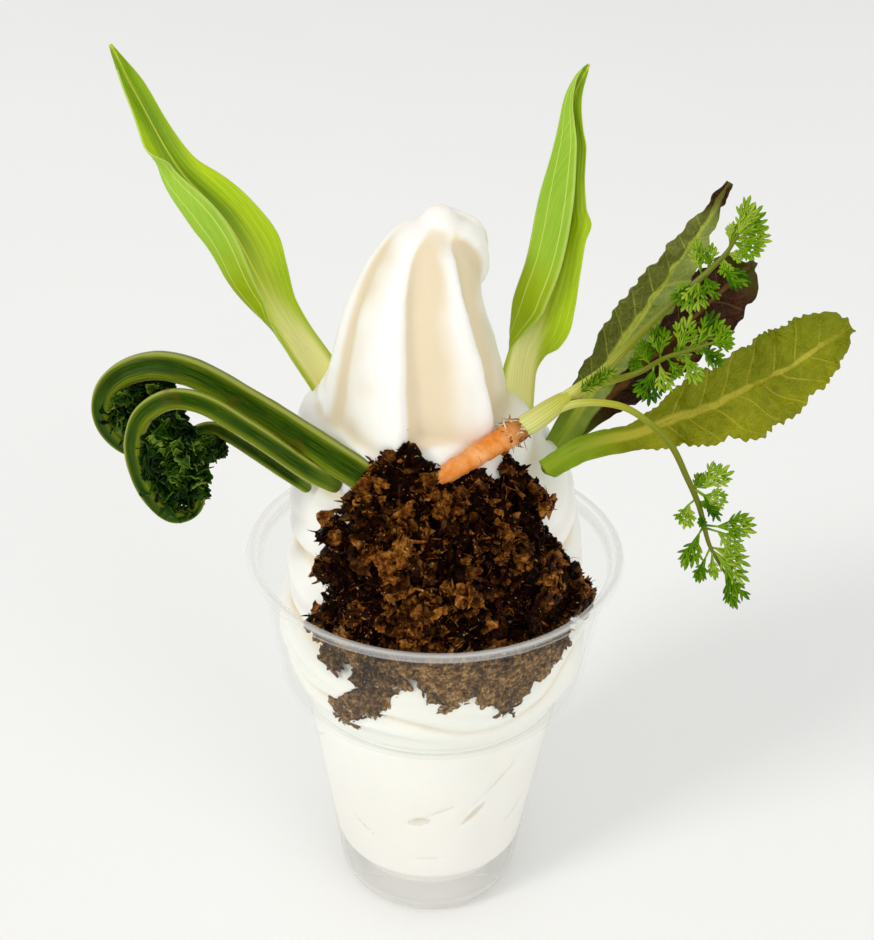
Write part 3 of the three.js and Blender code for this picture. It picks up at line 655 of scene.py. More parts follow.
def peak_lobes(turned):
    """How high the peak's lobes stand in a direction, from 0 in a groove to 1 on a ridge, and the
    depth of the grooves there."""
    grooves = np.radians(PEAK_GROOVES)
    turned = (turned - grooves[0]) % TAU + grooves[0]
    place = np.interp(turned, grooves, np.arange(len(grooves)))
    lobe = np.clip(np.floor(place).astype(int), 0, len(grooves) - 2)
    share = place - lobe
    rise = np.clip(share / PEAK_RIDGE, 0, 1) ** np.array(PEAK_RISE)[lobe]
    drop = smooth((1 - share) / (1 - PEAK_RIDGE))
    return np.where(share < PEAK_RIDGE, rise, drop), np.interp(turned, grooves, PEAK_DEPTHS)


def lobed(line, front, strength=1.0):
    def radius(t, angle):
        crest, depth = peak_lobes(front(t) - angle)
        fade = smooth((1.02 - t) * 6)
        return line.radius(t) * (1 + 0.03 * fade - strength * depth * (1 - crest) * fade)

    return radius


def groove_shade(points, line, front):
    """Painted shade on the peak: how deep in its grooves points lie, from 0 on a ridge to about 1, and a
    little over its top.
    """
    t = np.linspace(0.2, 0.97, 120)
    middle, along = line.at(t), line.along(t)
    side = unit(np.cross(along, (0.0, 1.0, 0.0)))
    out = np.cross(side, along)
    level = np.abs(points @ along.T - np.einsum("ij,ij->i", middle, along))
    nearest = np.argmin(level, axis=1)
    away = points - middle[nearest]
    across = np.einsum("ij,ij->i", away, side[nearest])
    angle = np.arctan2(np.einsum("ij,ij->i", away, out[nearest]), across)
    crest, depth = peak_lobes(front(t[nearest]) - angle)
    fade = smooth((points[:, 2] - 150) / 7) * smooth((202 - points[:, 2]) / 10)
    return (1 - crest) * depth / max(PEAK_DEPTHS) * fade + 0.3 * smooth((points[:, 2] - 178) / 14)


def make_cream():
    shape = Shape()
    z = np.arange(CREAM["join"], cream_top, CREAM["ring_step"])
    angle = np.arange(CREAM["segments"]) / CREAM["segments"] * TAU
    radii = cream_radius(angle[None, :], z[:, None])
    lathe(shape, z, radii, lean_x(z) * (z > LEAN_START), lean_y(z) * (z > LEAN_START))
    peak = Line(PEAK)
    front = through(*PEAK_FRONT)
    sweep(shape, peak, (0, 1, 0), 110, 260, lobed(peak, front), (False, True))
    tail = Line(PEAK_TAIL)
    around = through((0, 0.4), (1, 1.6))
    sweep(shape, tail, (0, 1, 0), 60, 80, lobed(tail, around, 0.9))
    rough = bpy.data.objects.new("cream_parts", make_mesh("cream_parts", shape))
    bpy.context.scene.collection.objects.link(rough)
    remesh = rough.modifiers.new("join", "REMESH")
    remesh.mode = "VOXEL"
    remesh.voxel_size = CREAM["voxel"] * MM
    soften = rough.modifiers.new("soften", "SMOOTH")
    soften.factor = 0.5
    soften.iterations = 2
    graph = bpy.context.evaluated_depsgraph_get()
    mesh = bpy.data.meshes.new_from_object(rough.evaluated_get(graph), depsgraph=graph)
    bpy.data.objects.remove(rough)
    mesh.name = "soft_serve_coil"
    points, normals = read_points(mesh)
    high = smooth((points[:, 2] - 74) / 8)
    uneven = 0.22 * noise(points, 5, 21) * high + 0.06 * noise(points, 1.6, 22) * high
    inside, nearest = heap_place(np.degrees(np.arctan2(points[:, 1], points[:, 0])), points[:, 2])
    bed = HEAP["bed"] * inside * smooth(nearest / 3)
    points = keep_off_wall(points + normals * uneven[:, None], bed - REACH)
    mesh.vertices.foreach_set("co", (points * MM).astype(np.float32).ravel())
    mesh.update()
    mesh.shade_smooth()
    # Painted shade: more beige in the peak's grooves and over its top.
    paint_crease_shade(mesh, 1.5 * groove_shade(points, peak, front))
    piece("soft_serve_coil", mesh, cream_material(), "soft_serve")


def read_points(mesh):
    """The points of a mesh in millimetres and its normals there."""
    points = np.empty(len(mesh.vertices) * 3, np.float32)
    mesh.vertices.foreach_get("co", points)
    normals = np.empty_like(points)
    mesh.vertices.foreach_get("normal", normals)
    return points.reshape(-1, 3).astype(float) / MM, normals.reshape(-1, 3).astype(float)


def from_axis(points):
    return np.hypot(points[..., 0], points[..., 1])


def keep_off_wall(points, gap=0.15):
    """Pulls points in to that distance from the cup's inner wall."""
    inside = points[..., 2] < CUP["height"]
    limit = np.where(inside, wall_radius(points[..., 2]) - gap, 1e3)
    share = np.minimum(1, limit / np.maximum(from_axis(points), 1e-6))
    return points * xyz(share, share, 1)


def paint_crease_shade(mesh, more=0):
    """Stores how deep each point lies in the creases, for the beige shade painted there. more is added to
    it.
    """
    points, normals = read_points(mesh)
    edges = np.empty(len(mesh.edges) * 2, np.int32)
    mesh.edges.foreach_get("vertices", edges)
    a, b = edges.reshape(-1, 2).T
    count = len(points)
    links = np.maximum(np.bincount(a, minlength=count) + np.bincount(b, minlength=count), 1)

    def around(values):
        """The mean of each point's neighbours."""
        total = np.bincount(a, values[b], count) + np.bincount(b, values[a], count)
        return total / links

    mean = np.stack([around(column) for column in points.T], -1)
    hollow = np.einsum("ij,ij->i", mean - points, normals)
    spread = hollow
    total = np.zeros(count)
    for step in range(36):
        spread = 0.3 * spread + 0.7 * around(spread)
        total += spread * (0.25 if step < 8 else 1.0)
    attribute = mesh.attributes.new("crease_shade", "FLOAT", "POINT")
    attribute.data.foreach_set("value", (total + more).astype(np.float32))


@functools.cache
def cream_material():
    recipe = Recipe("soft_serve")
    base = recipe.noise(28, 3).ramp((0.25, "f4f1e8"), (0.6, "f8f6ef"), (0.85, "fbf9f4"))
    # Painted shade: the cream turns beige by how deep in its creases and grooves it lies.
    crease_shade, = recipe.values("crease_shade")
    return recipe.surface(
        recipe.mix(crease_shade.ease(-0.15, 1.0), base, "e6d6b6"),
        recipe.noise(60, 3).ease(0.3, 0.7, 0.36, 0.48),
        recipe.bump(recipe.noise(900, 4), 0.12, 0.15),
        glow=(0.3, (1.0, 0.72, 0.48), 2.5),
        IOR=1.4,
    )


# ---------------------------------------------------------------- leaves
def blade(width, start, end, flatten, share):
    """A half blade seen along the midrib: how far out and how high its point at a share of its
    width is. It leaves the midrib at the start angle and bends evenly to the end angle."""
    first = np.radians(start)
    turn = np.radians(end - start)
    turn = np.where(np.abs(turn) < 1e-3, 1e-3, turn)
    angle = first + turn * share
    out = width / turn * (np.sin(angle) - np.sin(first))
    return out, width / turn * (np.cos(first) - np.cos(angle)) * flatten


def leaf(name, form, material, node):
    """A leaf along a spine, with its upper face towards the facing. left and right describe its half
    blades along it, wave bends them and relief raises their skin."""
    line = Line(form["spine"])
    t = np.linspace(0, 1, form["rows"])
    along = line.along(t)
    across = unit(np.cross(along, np.array(form["facing"], float)))
    out = np.cross(across, along)
    halves = []
    left, right = form["columns"]
    for side, count, sign in ((form["left"], left, -1), (form["right"], right, 1)):
        share = np.linspace(0, 1, count + 1)[None, :]
        width = side["width"](t)[:, None] * np.ones_like(share)
        angles = [side[key](t)[:, None] for key in ("start", "end", "flatten")]
        x, rise = blade(width, *angles, share)
        rise = rise + form["wave"](t[:, None], sign * share)
        grid = line.at(t)[:, None] + sign * x[..., None] * across[:, None] + rise[..., None] * out[:, None]
        halves.append((grid, width * share))
    grid, distance = [np.concatenate([a[:, :0:-1], b], axis=1) for a, b in zip(*halves)]
    t, share = t[:, None], np.concatenate([np.linspace(-1, 0, left + 1)[:-1], np.linspace(0, 1, right + 1)])
    normal = unit(np.cross(np.gradient(grid, axis=1), np.gradient(grid, axis=0)))
    run = t * line.length
    phase, fade, lift = form["relief"](t, share[None, :], run, distance)
    grid = grid + normal * np.broadcast_to(lift, distance.shape)[..., None]
    rib = np.exp(-((distance / form["rib_width"]) ** 2))
    thickness = lerp(form["thin"], form["rib"](t), rib)
    shape = Shape()
    values = dict(along=t, across=share, distance=distance, run=run, phase=phase, vein=fade)
    thin_solid(shape, grid, thickness / 2, **values)
    piece(name, shape, material, node)


def vein_lines(recipe, start):
    """Thin lines where the veins' phase passes a whole number, as strong as the blade has them."""
    phase, vein = recipe.values("phase", "vein")
    return abs(phase.math("FRACT") - 0.5).ease(start, 0.5) * vein


def flat(t, v):
    return 0 * t * v


level = through((0, 1), (1, 1))


def hosta_relief(t, share, *_):
    """A few parallel veins, with the blade puffed up a little between them."""
    phase = np.abs(share) * 5.5 + 0.35 * (share > 0)
    nearness = np.abs(fraction(phase) - 0.5) * 2
    fade = smooth((np.abs(share) - 0.06) / 0.1) * smooth((t - 0.16) / 0.12)
    puff = 0.13 * (1 - nearness**2) * fade
    ripple = 0.35 * np.sin(19 * t + 3 * share) * smooth(np.abs(share) * 1.4) * smooth((t - 0.3) / 0.2)
    return phase, fade, puff + ripple * (1 - smooth((t - 0.85) / 0.15))


HOSTA = dict(rows=156, columns=(36, 20), rib=through((0, 1.5), (0.35, 1.2), (1, 0.6)), rib_width=1.2)
HOSTA.update(thin=0.42, wave=flat, relief=hosta_relief)
HOSTA_LEFT = dict(
    HOSTA,
    spine=(
        (-20.5, 8.5, 137), (-27.8, 9, 151.2), (-40.3, 10.4, 170.6), (-51.6, 12.5, 192.1),
        (-62.3, 13.9, 204.5), (-71.5, 15.3, 221.9), (-76.2, 16, 232.4),
    ),
    facing=(0.35, -0.88, 0.4),
    left=dict(
        width=through(
            (0, 5.2), (0.26, 5.4), (0.33, 9), (0.4, 18), (0.49, 25), (0.59, 25.5), (0.67, 20),
            (0.75, 12), (0.81, 5.8), (0.92, 2.6), (1, 0.2),
        ),
        start=through((0, 12), (0.3, 16), (0.45, 10), (1, 15)),
        end=through(
            (0, 30), (0.25, 50), (0.33, 105), (0.4, 150), (0.62, 164), (0.74, 148), (0.81, 60), (1, 30)
        ),
        flatten=through((0, 1), (0.24, 1), (0.42, 0.3), (0.72, 0.3), (0.82, 1), (1, 1)),
    ),
    right=dict(
        width=through(
            (0, 5), (0.26, 5), (0.35, 5.6), (0.43, 7.6), (0.5, 9.2), (0.58, 7.9), (0.65, 6.6),
            (0.73, 4.4), (0.82, 3.5), (0.9, 3.1), (1, 0.1),
        ),
        start=through((0, 12), (0.4, 20), (1, 20)),
        end=through((0, 28), (0.33, 26), (0.5, 0), (1, 15)),
        flatten=level,
    ),
)
HOSTA_RIGHT = dict(
    HOSTA,
    spine=(
        (20.5, 5, 138.5), (19.8, 5.5, 150.5), (20.4, 6.4, 162.3), (23.3, 7.4, 173.9),
        (26.6, 8.3, 185.7), (28.5, 9.2, 200), (29, 10.1, 213.7), (29.2, 11.1, 224.3), (31.8, 12, 231.4),
    ),
    facing=(-0.2, -0.9, 0.3),
    left=dict(
        width=through(
            (0, 4.4), (0.2, 4.8), (0.26, 7), (0.32, 15), (0.4, 23), (0.5, 24.4), (0.66, 22.4),
            (0.8, 15.5), (0.9, 8), (0.97, 3), (1, 0.2),
        ),
        start=through((0, 12), (0.22, 18), (0.32, 10), (1, 10)),
        end=through(
            (0, 30), (0.2, 56), (0.26, 110), (0.32, 165), (0.4, 188), (0.8, 190), (0.93, 160), (1, 90)
        ),
        flatten=through((0, 1), (0.2, 1), (0.35, 0.32), (0.9, 0.32), (1, 1)),
    ),
    right=dict(
        width=through(
            (0, 4.2), (0.2, 4.2), (0.27, 5.8), (0.31, 8.6), (0.36, 9.6), (0.42, 8.8), (0.51, 7), (0.58, 6.4),
            (0.62, 7), (0.66, 5.1), (0.74, 3.8), (0.8, 3.7), (0.84, 2.8), (0.92, 1.8), (1, 0.1),
        ),
        start=through((0, 12), (0.4, 18), (1, 20)),
        end=through((0, 28), (0.3, 6), (0.6, -10), (1, 20)),
        flatten=level,
    ),
)


def hosta_material():
    recipe = Recipe("hosta_leaf")
    names = ("along", "across", "distance", "run", "side")
    along, across, distance, run, side = recipe.values(*names)
    tone = recipe.noise(45, 4)
    streaks = recipe.noise(1.3, 4, 0.6, recipe.flat_place(run * 0.05, distance))
    varied = tone * 0.5 + streaks * 0.5
    bright = varied.ramp((0.32, "92b000"), (0.5, "a4c200"), (0.68, "b6ce0c"))
    deep = varied.ramp((0.32, "688e00"), (0.7, "88aa00"))
    upper = recipe.mix(distance.ease(0.8, 4.6), deep, bright)
    # Painted sheen: the underside turns lighter and paler further up the leaf.
    fresh = varied.ramp((0.32, "86a000"), (0.7, "9eb404"))
    sheen_tone = varied.ramp((0.32, "82ac1c"), (0.7, "a2c640"))
    under = recipe.mix(along.ease(0.42, 0.6), fresh, sheen_tone)
    channel = along.ease(0.34, 0.6, 1, 0) * distance.ease(1.5, 6, 1, 0)
    lines = (distance * 9.0).math("SINE").ease(0.6, 1, 0, 0.22)
    stalk_tone = recipe.mix(distance.ease(2.8, 5), "f4f2a4", "b2c030")
    base = recipe.layers(
        recipe.mix(side.ease(-0.2, 0.2), under, upper),
        (vein_lines(recipe, 0.445) * 0.6, "dfe27c"),
        (channel, "cad83c"),
        (distance.ease(0.12, 0.5, 1, 0) * 0.8, "dfe24a"),
        (abs(across).ease(0.955, 0.99) * 0.5, "cfe07a"),
        ((along + distance * 0.016).ease(0.26, 0.46, 1, 0), recipe.mix(lines, stalk_tone, "b4ba44")),
    )
    return recipe.surface(
        base,
        tone.ease(0.3, 0.7, 0.34, 0.46),
        recipe.bump(streaks, 0.25, 0.25),
        glow=(0.1, (0.6, 1.0, 0.2), 1),
        Specular_IOR_Level=0.2,
    )


def toothed(points, lobes, teeth, seed):
    """A width along a leaf with rounded lobes and small uneven teeth that point to the tip."""
    width = through(*points)
    sizes = np.random.default_rng(seed).random(64)

    def at(t):
        tooth = np.floor(t * teeth).astype(int) % 64
        lobe = np.floor(t * lobes).astype(int) % 64
        bite = 0.09 * (0.35 + sizes[tooth]) * np.sin(math.pi * fraction(t * teeth) ** 1.6)
        scallop = 0.13 * (0.3 + sizes[lobe]) * np.abs(np.sin(math.pi * t * lobes)) ** 8
        return width(t) * (1 + 0.05 - (bite + scallop) * smooth((t - 0.25) / 0.15))

    return at


def lettuce_half(widths, tilt, lobes, teeth, seed):
    return dict(
        width=toothed(widths, lobes, teeth, seed),
        start=through((0, 20), (0.4, tilt + 10), (1, tilt)),
        end=through((0, 45), (0.4, tilt + 20), (1, tilt - 5)),
        flatten=level,
    )


def lettuce_relief(spacing, slope, seed):
    """Veins that leave the midrib at an angle, with the blade puffed up between them."""

    def relief(t, share, run, distance):
        place = xyz(run, distance + 40 * np.sign(share), 0)
        warp = 1.3 * noise(place, 7, seed)
        phase = (run - slope * distance + warp) / spacing + 0.5 * (share < 0)
        near = np.abs(fraction(phase) - 0.5) * 2
        fade = smooth(distance / 1.5) * smooth((t - 0.25) / 0.2)
        puff = 0.6 * (1 - near**2) + 0.6 * noise(place, 3.2, seed + 1) + 0.35 * noise(place, 1.5, seed + 2)
        return phase, fade * (1 - 0.6 * np.abs(share)), puff * fade

    return relief


def ruffle(size, count):
    """Waves of the blade that grow towards its edge, with smaller ones at the very edge."""
    return lambda t, v: size * v * v * np.sin(count * t + 2 * v) + 0.5 * v**4 * np.sin(2.7 * count * t + v)


LETTUCE = dict(rows=200, columns=(18, 18), thin=0.38, rib_width=1.3)
LETTUCE_SIDE = dict(
    LETTUCE,
    spine=(
        (25.2, -18.6, 144), (32.6, -12.6, 146.4), (39, -9, 147), (47, -7, 147.9), (55.5, -6, 151.3),
        (66.8, -6, 156.5), (74.7, -6, 161.6), (82.6, -6, 166.4), (91, -6, 173.8), (95.4, -6, 177.2),
    ),
    facing=(0, -0.85, 0.52),
    left=lettuce_half(
        (
            (0, 2.6), (0.1, 2.4), (0.29, 2.5), (0.4, 5), (0.54, 8.8), (0.66, 9), (0.78, 10),
            (0.9, 8.6), (0.96, 6), (1, 1.5),
        ),
        5, 9, 46, 5,
    ),
    right=lettuce_half(
        (
            (0, 3.2), (0.1, 4), (0.29, 4), (0.39, 6.4), (0.54, 9.6), (0.66, 12.2), (0.76, 10.4), (0.86, 8),
            (0.94, 5.4), (1, 1.5),
        ),
        0, 8, 42, 6,
    ),
    rib=through((0, 2), (0.4, 1.7), (1, 0.7)),
    wave=ruffle(0.9, 26),
    relief=lettuce_relief(6.4, 0.75, 41),
)
LETTUCE_UPRIGHT = dict(
    LETTUCE,
    spine=(
        (23.5, 1, 131), (31.5, 2.5, 143), (39, 4, 157), (47, 5.5, 171.5), (55, 6.5, 185.5),
        (61.2, 7.5, 196.5), (65.8, 8, 206.4),
    ),
    facing=(0.25, -0.86, 0.42),
    left=lettuce_half(
        ((0, 3.4), (0.2, 3.8), (0.45, 6.4), (0.7, 5.6), (0.84, 3), (0.93, 2.4), (1, 0.6)), -10, 6, 26, 7
    ),
    right=lettuce_half(
        ((0, 3.4), (0.2, 3.6), (0.45, 5), (0.7, 5.8), (0.84, 3), (0.93, 2.2), (1, 0.6)), 20, 6, 24, 8
    ),
    rib=through((0, 2.2), (0.5, 1.8), (1, 0.8)),
    wave=ruffle(0.7, 24),
    relief=lettuce_relief(6.5, 0.9, 51),
)
LETTUCE_RED = dict(
    LETTUCE,
    spine=(
        (23, 9, 132), (32.5, 9.5, 139), (43, 10.5, 149.5), (54, 11.5, 161.5), (65, 13, 173.5),
        (75.5, 14.5, 185),
    ),
    facing=(0.1, -0.86, 0.5),
    left=lettuce_half(((0, 2.5), (0.25, 2.4), (0.5, 4.8), (0.75, 8.2), (0.92, 7), (1, 0.9)), 5, 5, 22, 9),
    right=lettuce_half(((0, 2.5), (0.25, 3.6), (0.5, 7.6), (0.75, 8.8), (0.92, 7), (1, 0.9)), 5, 5, 20, 10),
    rib=through((0, 2), (0.5, 1.6), (1, 0.7)),
    wave=ruffle(0.9, 22),
    relief=lettuce_relief(6, 0.8, 61),
)


def lettuce_material(name, tones, under_tone, rib_tone, edge_tone, blush, left_tone, tip_tone):
    """A lettuce skin. blush is how far the edge's tone spreads into the blade."""
    recipe = Recipe(name)
    names = ("along", "across", "distance", "run", "side")
    along, across, distance, run, side = recipe.values(*names)
    upper = recipe.noise(90, 6, 0.65).ramp(*zip((0.34, 0.5, 0.66), tones))
    halved = recipe.mix(across.ease(-0.12, 0.02, 0.75, 0), upper, left_tone)
    place = recipe.flat_place(run, distance * 1.2)
    bend = recipe.add("TexNoise", {"Vector": place, "Scale": 0.6}, "Color")
    warped = recipe.add("VectorMath", {0: place, 1: bend}, operation="ADD")
    cells = {"Vector": warped, "Scale": 0.55}
    border = recipe.add("TexVoronoi", cells, "Distance", feature="DISTANCE_TO_EDGE")
    net = border.ease(0.0, 0.2, 1, 0) * along.ease(0.22, 0.45)
    patches = recipe.noise(40, 3)
    rim = abs(across) + patches * 0.5
    near_rib = (distance / along.ease(0.3, 0.85, 1.7, 0.8)).ease(0.5, 1.1, 1, 0)
    base = recipe.layers(
        recipe.mix(side.ease(-0.2, 0.2), under_tone, halved),
        (net * 0.12, rib_tone),
        (vein_lines(recipe, 0.43) * 0.75, rib_tone),
        (rim.ease(1.32 - blush, 1.36), edge_tone),
        (along.ease(0.88, 0.96), tip_tone),
        (near_rib * along.ease(0.85, 0.95, 0.85, 0.25), rib_tone),
        (along.ease(0.1, 0.34, 0.8, 0), "7f9c1c"),
    )
    return recipe.surface(
        base,
        patches.ease(0.3, 0.7, 0.36, 0.5),
        recipe.bump(net * 0.45 + recipe.noise(250, 4), 0.7, 0.5),
        glow=(0.05, (0.6, 1.0, 0.2), 0.7),
        Specular_IOR_Level=0.13,
    )


# ---------------------------------------------------------------- fiddleheads
FERNS = dict(
    fiddlehead_back=dict(
        stem=(
            (-9, -28, 139.5, 3.4), (-16.2, -26, 144.6, 3.8), (-26.8, -23.2, 150.5, 3.8),
            (-43.1, -18.5, 159.2, 3.6), (-57.7, -14.5, 165.5, 3.5), (-66, -13, 166.2, 3.4),
            (-73, -12.5, 163.9, 3.2), (-77.7, -12, 159.1, 3), (-79.3, -12, 153.2, 2.8),
            (-77.8, -12, 147.6, 2.5), (-73.5, -12, 143.6, 2), (-66.5, -12, 144.2, 1.3),
            (-62.8, -12, 149.5, 0.9),
        ),
        middle=(-69.4, -12.4, 154.6), size=(9.2, 3.4, 9.4), leaflets=200, seed=71, coil=0.84,
    ),
    fiddlehead_front=dict(
        stem=(
            (-24.2, -24.6, 142.4, 2.1), (-29.6, -26.6, 147, 2.4), (-42, -28.5, 157.7, 2.4),
            (-53.2, -28.5, 164.8, 2.4), (-59.8, -28.5, 165.4, 2.4), (-65.8, -28.5, 161.4, 2.4),
            (-68.4, -28.5, 154.9, 2.4), (-68.2, -28.5, 147.8, 2.4), (-65.8, -28.5, 140.4, 2.3),
            (-61.2, -28.5, 135.4, 2), (-56.4, -28.5, 136.6, 1.4), (-53.8, -28.5, 142.6, 0.8),
            (-53.8, -28.5, 148.8, 0.7), (-55.6, -28.5, 153.5, 0.6),
        ),
        middle=(-60.2, -28.5, 149.4), size=(7.4, 3.4, 12.4), leaflets=250, seed=72, coil=0.72,
    ),
    fiddlehead_small=dict(
        stem=(
            (-31.4, -17.9, 137.4, 1.4), (-40.7, -18.5, 145.2, 1.7), (-48.3, -19, 151.1, 1.6),
            (-52.5, -19, 153.4, 1.5), (-56.8, -19, 152, 1.3), (-57.6, -19, 147.6, 1),
            (-54.4, -19, 144.8, 0.8), (-51.2, -19, 146.8, 0.7),
        ),
        middle=(-53.6, -19, 149), size=(4.2, 2.2, 4.4), leaflets=64, seed=73, coil=0.7,
    ),
)
GROOVE_AT = math.radians(70)  # where the stem's groove lies, from its outer side towards the viewer


def from_groove(angle):
    """How far round the stem an angle lies from its groove."""
    return np.abs((angle - GROOVE_AT + math.pi) % TAU - math.pi)


def stem_radius(line):
    def radius(t, angle):
        away = from_groove(angle)
        groove = 0.24 * np.exp(-((away / 0.42) ** 2))
        rims = 0.07 * np.exp(-(((away - 0.85) / 0.2) ** 2))
        place = xyz(3 * np.cos(angle), 3 * np.sin(angle), t * line.length / 5)
        return line.radius(t) * (1 - groove + rims) + 0.1 * noise(place, 0.8, 75)

    return radius


def stem_values(t, angle):
    return dict(along=t, groove=from_groove(angle), inner=np.sin(angle - GROOVE_AT))


def make_fern(name, fern, stem_skin, leaf_skin):
    line = Line(fern["stem"])
    shape = Shape()
    rings = int(line.length * 1.3)
    sweep(shape, line, (0, -1, 0.12), rings, 44, stem_radius(line), values=stem_values)
    piece(name + "_stem", shape, stem_skin, name)
    random = np.random.default_rng(fern["seed"])
    filling = Shape()
    middle, size = np.array(fern["middle"], float), np.array(fern["size"], float)
    core = icosphere(4)
    lumps = 0.78 + 0.12 * noise(core[0] * 10, 4, fern["seed"]) + 0.1 * noise(core[0] * 10, 1.5, 5)
    # The ball inside the curled leaflets takes the darkest tone: painted shade deep in the coil.
    filling.add(middle + core[0] * size * lumps[:, None], [core[1]], shade=0.02, side=1)
    scale = min(1.0, size[0] / 6.5)
    for _ in range(fern["leaflets"]):
        spot = unit(random.normal(size=3))
        spot[1] = -abs(spot[1]) if random.random() < 0.75 else spot[1]
        start = middle + spot * size * random.uniform(0.62, 0.9)
        curl_way = np.cross(spot, (0, 1, 0)) * 1.2
        flow = unit(curl_way + random.normal(size=3) * 0.8 + spot * random.uniform(-0.2, 0.5))
        facing = unit(spot + (0, -0.7, 0) + random.normal(size=3) * 0.45)
        frill(filling, start - flow * scale, flow, facing, random.uniform(3, 5.4) * scale, random)
    for t in np.linspace(fern["coil"], 1, 16):
        base = line.at(np.array([t]))[0]
        out = unit(base - middle)
        for _ in range(2):
            way = unit(line.along(np.array([t]))[0] + random.normal(size=3) * 0.4)
            spot = base - out * line.radius(t) * 0.6 + random.normal(size=3) * 0.3
            facing = unit(out * 0.4 + (0, -1, 0) + random.normal(size=3) * 0.4)
            frill(filling, spot - way * 1.5, way, facing, random.uniform(3, 4.6) * scale, random)
    piece(name + "_leaflets", filling, leaf_skin, name)


def icosphere(subdivisions):
    """Points and triangles of a unit ball."""
    ball = bmesh.new()
    bmesh.ops.create_icosphere(ball, subdivisions=subdivisions, radius=1)
    points = np.array([v.co[:] for v in ball.verts])
    faces = np.array([[v.index for v in f.verts] for f in ball.faces])
    ball.free()
    return points, faces


# Share of a strip's length and its width there, for a pointed strip, a finger and a plain rib.
POINTED = np.array([(0, 0.2), (0.2, 0.75), (0.45, 1), (0.7, 0.8), (0.9, 0.38), (1, 0.05)])
FINGER = np.array([(0, 0.35), (0.3, 0.7), (0.6, 1), (0.82, 0.85), (1, 0.12)])
TOOTH = np.array([(0, 0.8), (0.5, 1), (0.8, 0.7), (1, 0.1)])
RIB = np.array([(0, 1), (0.5, 0.85), (1, 0.7)])


def strip(shape, base, direction, normal, length, width, shade, curl=0.3, thick=0.14, form=POINTED):
    """A small thin solid with a diamond section that bends towards its normal along its length."""
    direction = unit(np.asarray(direction, float))
    side = unit(np.cross(direction, normal))
    normal = np.cross(side, direction)
    share, widths = form.T
    turn = curl * share
    middle = base + length * share[:, None] * (
        direction * np.cos(turn)[:, None] + normal * np.sin(turn)[:, None]
    )
    half = (widths * width / 2)[:, None]
    lift = (thick * (0.3 + 0.7 * widths))[:, None]
    rings = (middle + side * half, middle + normal * lift, middle - side * half, middle - normal * lift)
    rows = len(share)
    caps = [np.array([[3, 2, 1, 0]]), np.array([[0, 1, 2, 3]]) + (rows - 1) * 4]
    shape.add(np.stack(rings, 1), [grid_faces(rows, 4, round_columns=True), *caps], shade=shade)


def frill(shape, base, way, normal, length, random):
    """A small crumpled leaf with a toothed margin, cupped along its rib and lighter at its edge."""
    side = unit(np.cross(way, normal))
    normal = np.cross(side, way)
    t = np.linspace(0, 1, 13)[:, None]
    v = np.linspace(-1, 1, 5)[None, :]
    teeth = 0.62 + 0.38 * np.abs(np.cos(3 * math.pi * t))
    reach = length * random.uniform(0.32, 0.48) * np.sin(math.pi * (0.06 + 0.92 * t) ** 0.8) ** 0.7 * teeth
    out = v * reach
    place = xyz(t * length, out, random.uniform(0, 30))
    crumple = 0.13 * length * noise(place, length * 0.16, 76)
    cup, curl = random.uniform(0.1, 1.0), random.uniform(-0.5, 0.6)
    rise = cup * reach * v**2 + crumple + curl * length * t**2
    grid = base + way * (t * length)[..., None] + side * out[..., None] + normal * rise[..., None]
    lighter = 0.35 * np.abs(v) ** 3 + 0.25 * np.exp(-((v / 0.12) ** 2))
    shade = 0.75 * random.random() ** 2 + lighter + 0 * t
    thin_solid(shape, grid, np.full(shade.shape, 0.08), shade=np.clip(shade, 0, 1))


def fern_stem_material():
    recipe = Recipe("fiddlehead_stem")
    groove, along, inner = recipe.values("groove", "along", "inner")
    streaks = recipe.noise(1.6, 5, 0.65, recipe.flat_place(along * 7.0, groove * 9.0))
    inside = streaks.ramp((0.3, "142800"), (0.5, "284200"), (0.7, "4a6400"))
    outside = streaks.ramp((0.3, "4c6000"), (0.5, "6a7a0c"), (0.7, "94982e"))
    outer_rim = groove.ease(0.6, 0.8) * groove.ease(0.9, 1.15, 1, 0)
    inner_rim = groove.ease(0.95, 1.25) * groove.ease(1.5, 1.9, 1, 0)
    rim = recipe.mix(inner.ease(-0.1, 0.1), outer_rim, inner_rim)
    base = recipe.layers(
        recipe.mix(groove.ease(0.3, 0.9), inside, outside),
        (rim * 0.6, "b0b25a"),
        (groove.ease(1.9, 2.7), "304a00"),
        (recipe.noise(90, 3).ease(0.62, 0.72, 0, 0.45), "5a4410"),
        (along.ease(0, 0.1, 0.35, 0), "8fae3c"),
    )
    roughness = streaks.ease(0.3, 0.7, 0.18, 0.3)
    return recipe.surface(base, roughness, recipe.bump(streaks, 0.3, 0.25), Specular_IOR_Level=0.06)


def green_blade_material(name, *tones):
    recipe = Recipe(name)
    mixed = recipe.values("shade")[0] * 0.7 + recipe.noise(200, 3)
    return recipe.surface(
        (mixed * 0.7).ramp(*tones),
        recipe.noise(90, 2).ease(0.3, 0.7, 0.34, 0.48),
        recipe.bump(recipe.noise(900, 3), 0.2, 0.1),
        glow=(0.05, (0.5, 1.0, 0.2), 0.7),
        Specular_IOR_Level=0.07,
    )


# ---------------------------------------------------------------- the carrot
CARROT_ROOT = (
    (-11, -31, 139.6, 1), (-4, -29.2, 144, 1.7), (1.6, -27.6, 147.2, 2.2), (5.7, -26, 149.2, 2.4),
    (11, -22.3, 151.2, 2.6), (16.3, -19.2, 153.2, 2.9), (18.6, -18.2, 154.3, 2.9), (20.2, -17.6, 155, 2.2),
)
SHEATH = (
    (18.8, -18, 154.4, 2.2), (21.5, -17.4, 156, 2.5), (24.8, -16.2, 158, 2.4), (28, -15.4, 160.4, 1.9),
    (30.4, -15, 162.4, 1.1),
)
BUD = ((32.4, -16.6, 164, 0.8), (35, -16.8, 166, 1.3), (37.6, -17, 167.8, 1.1), (39.6, -17, 169.4, 0.4))
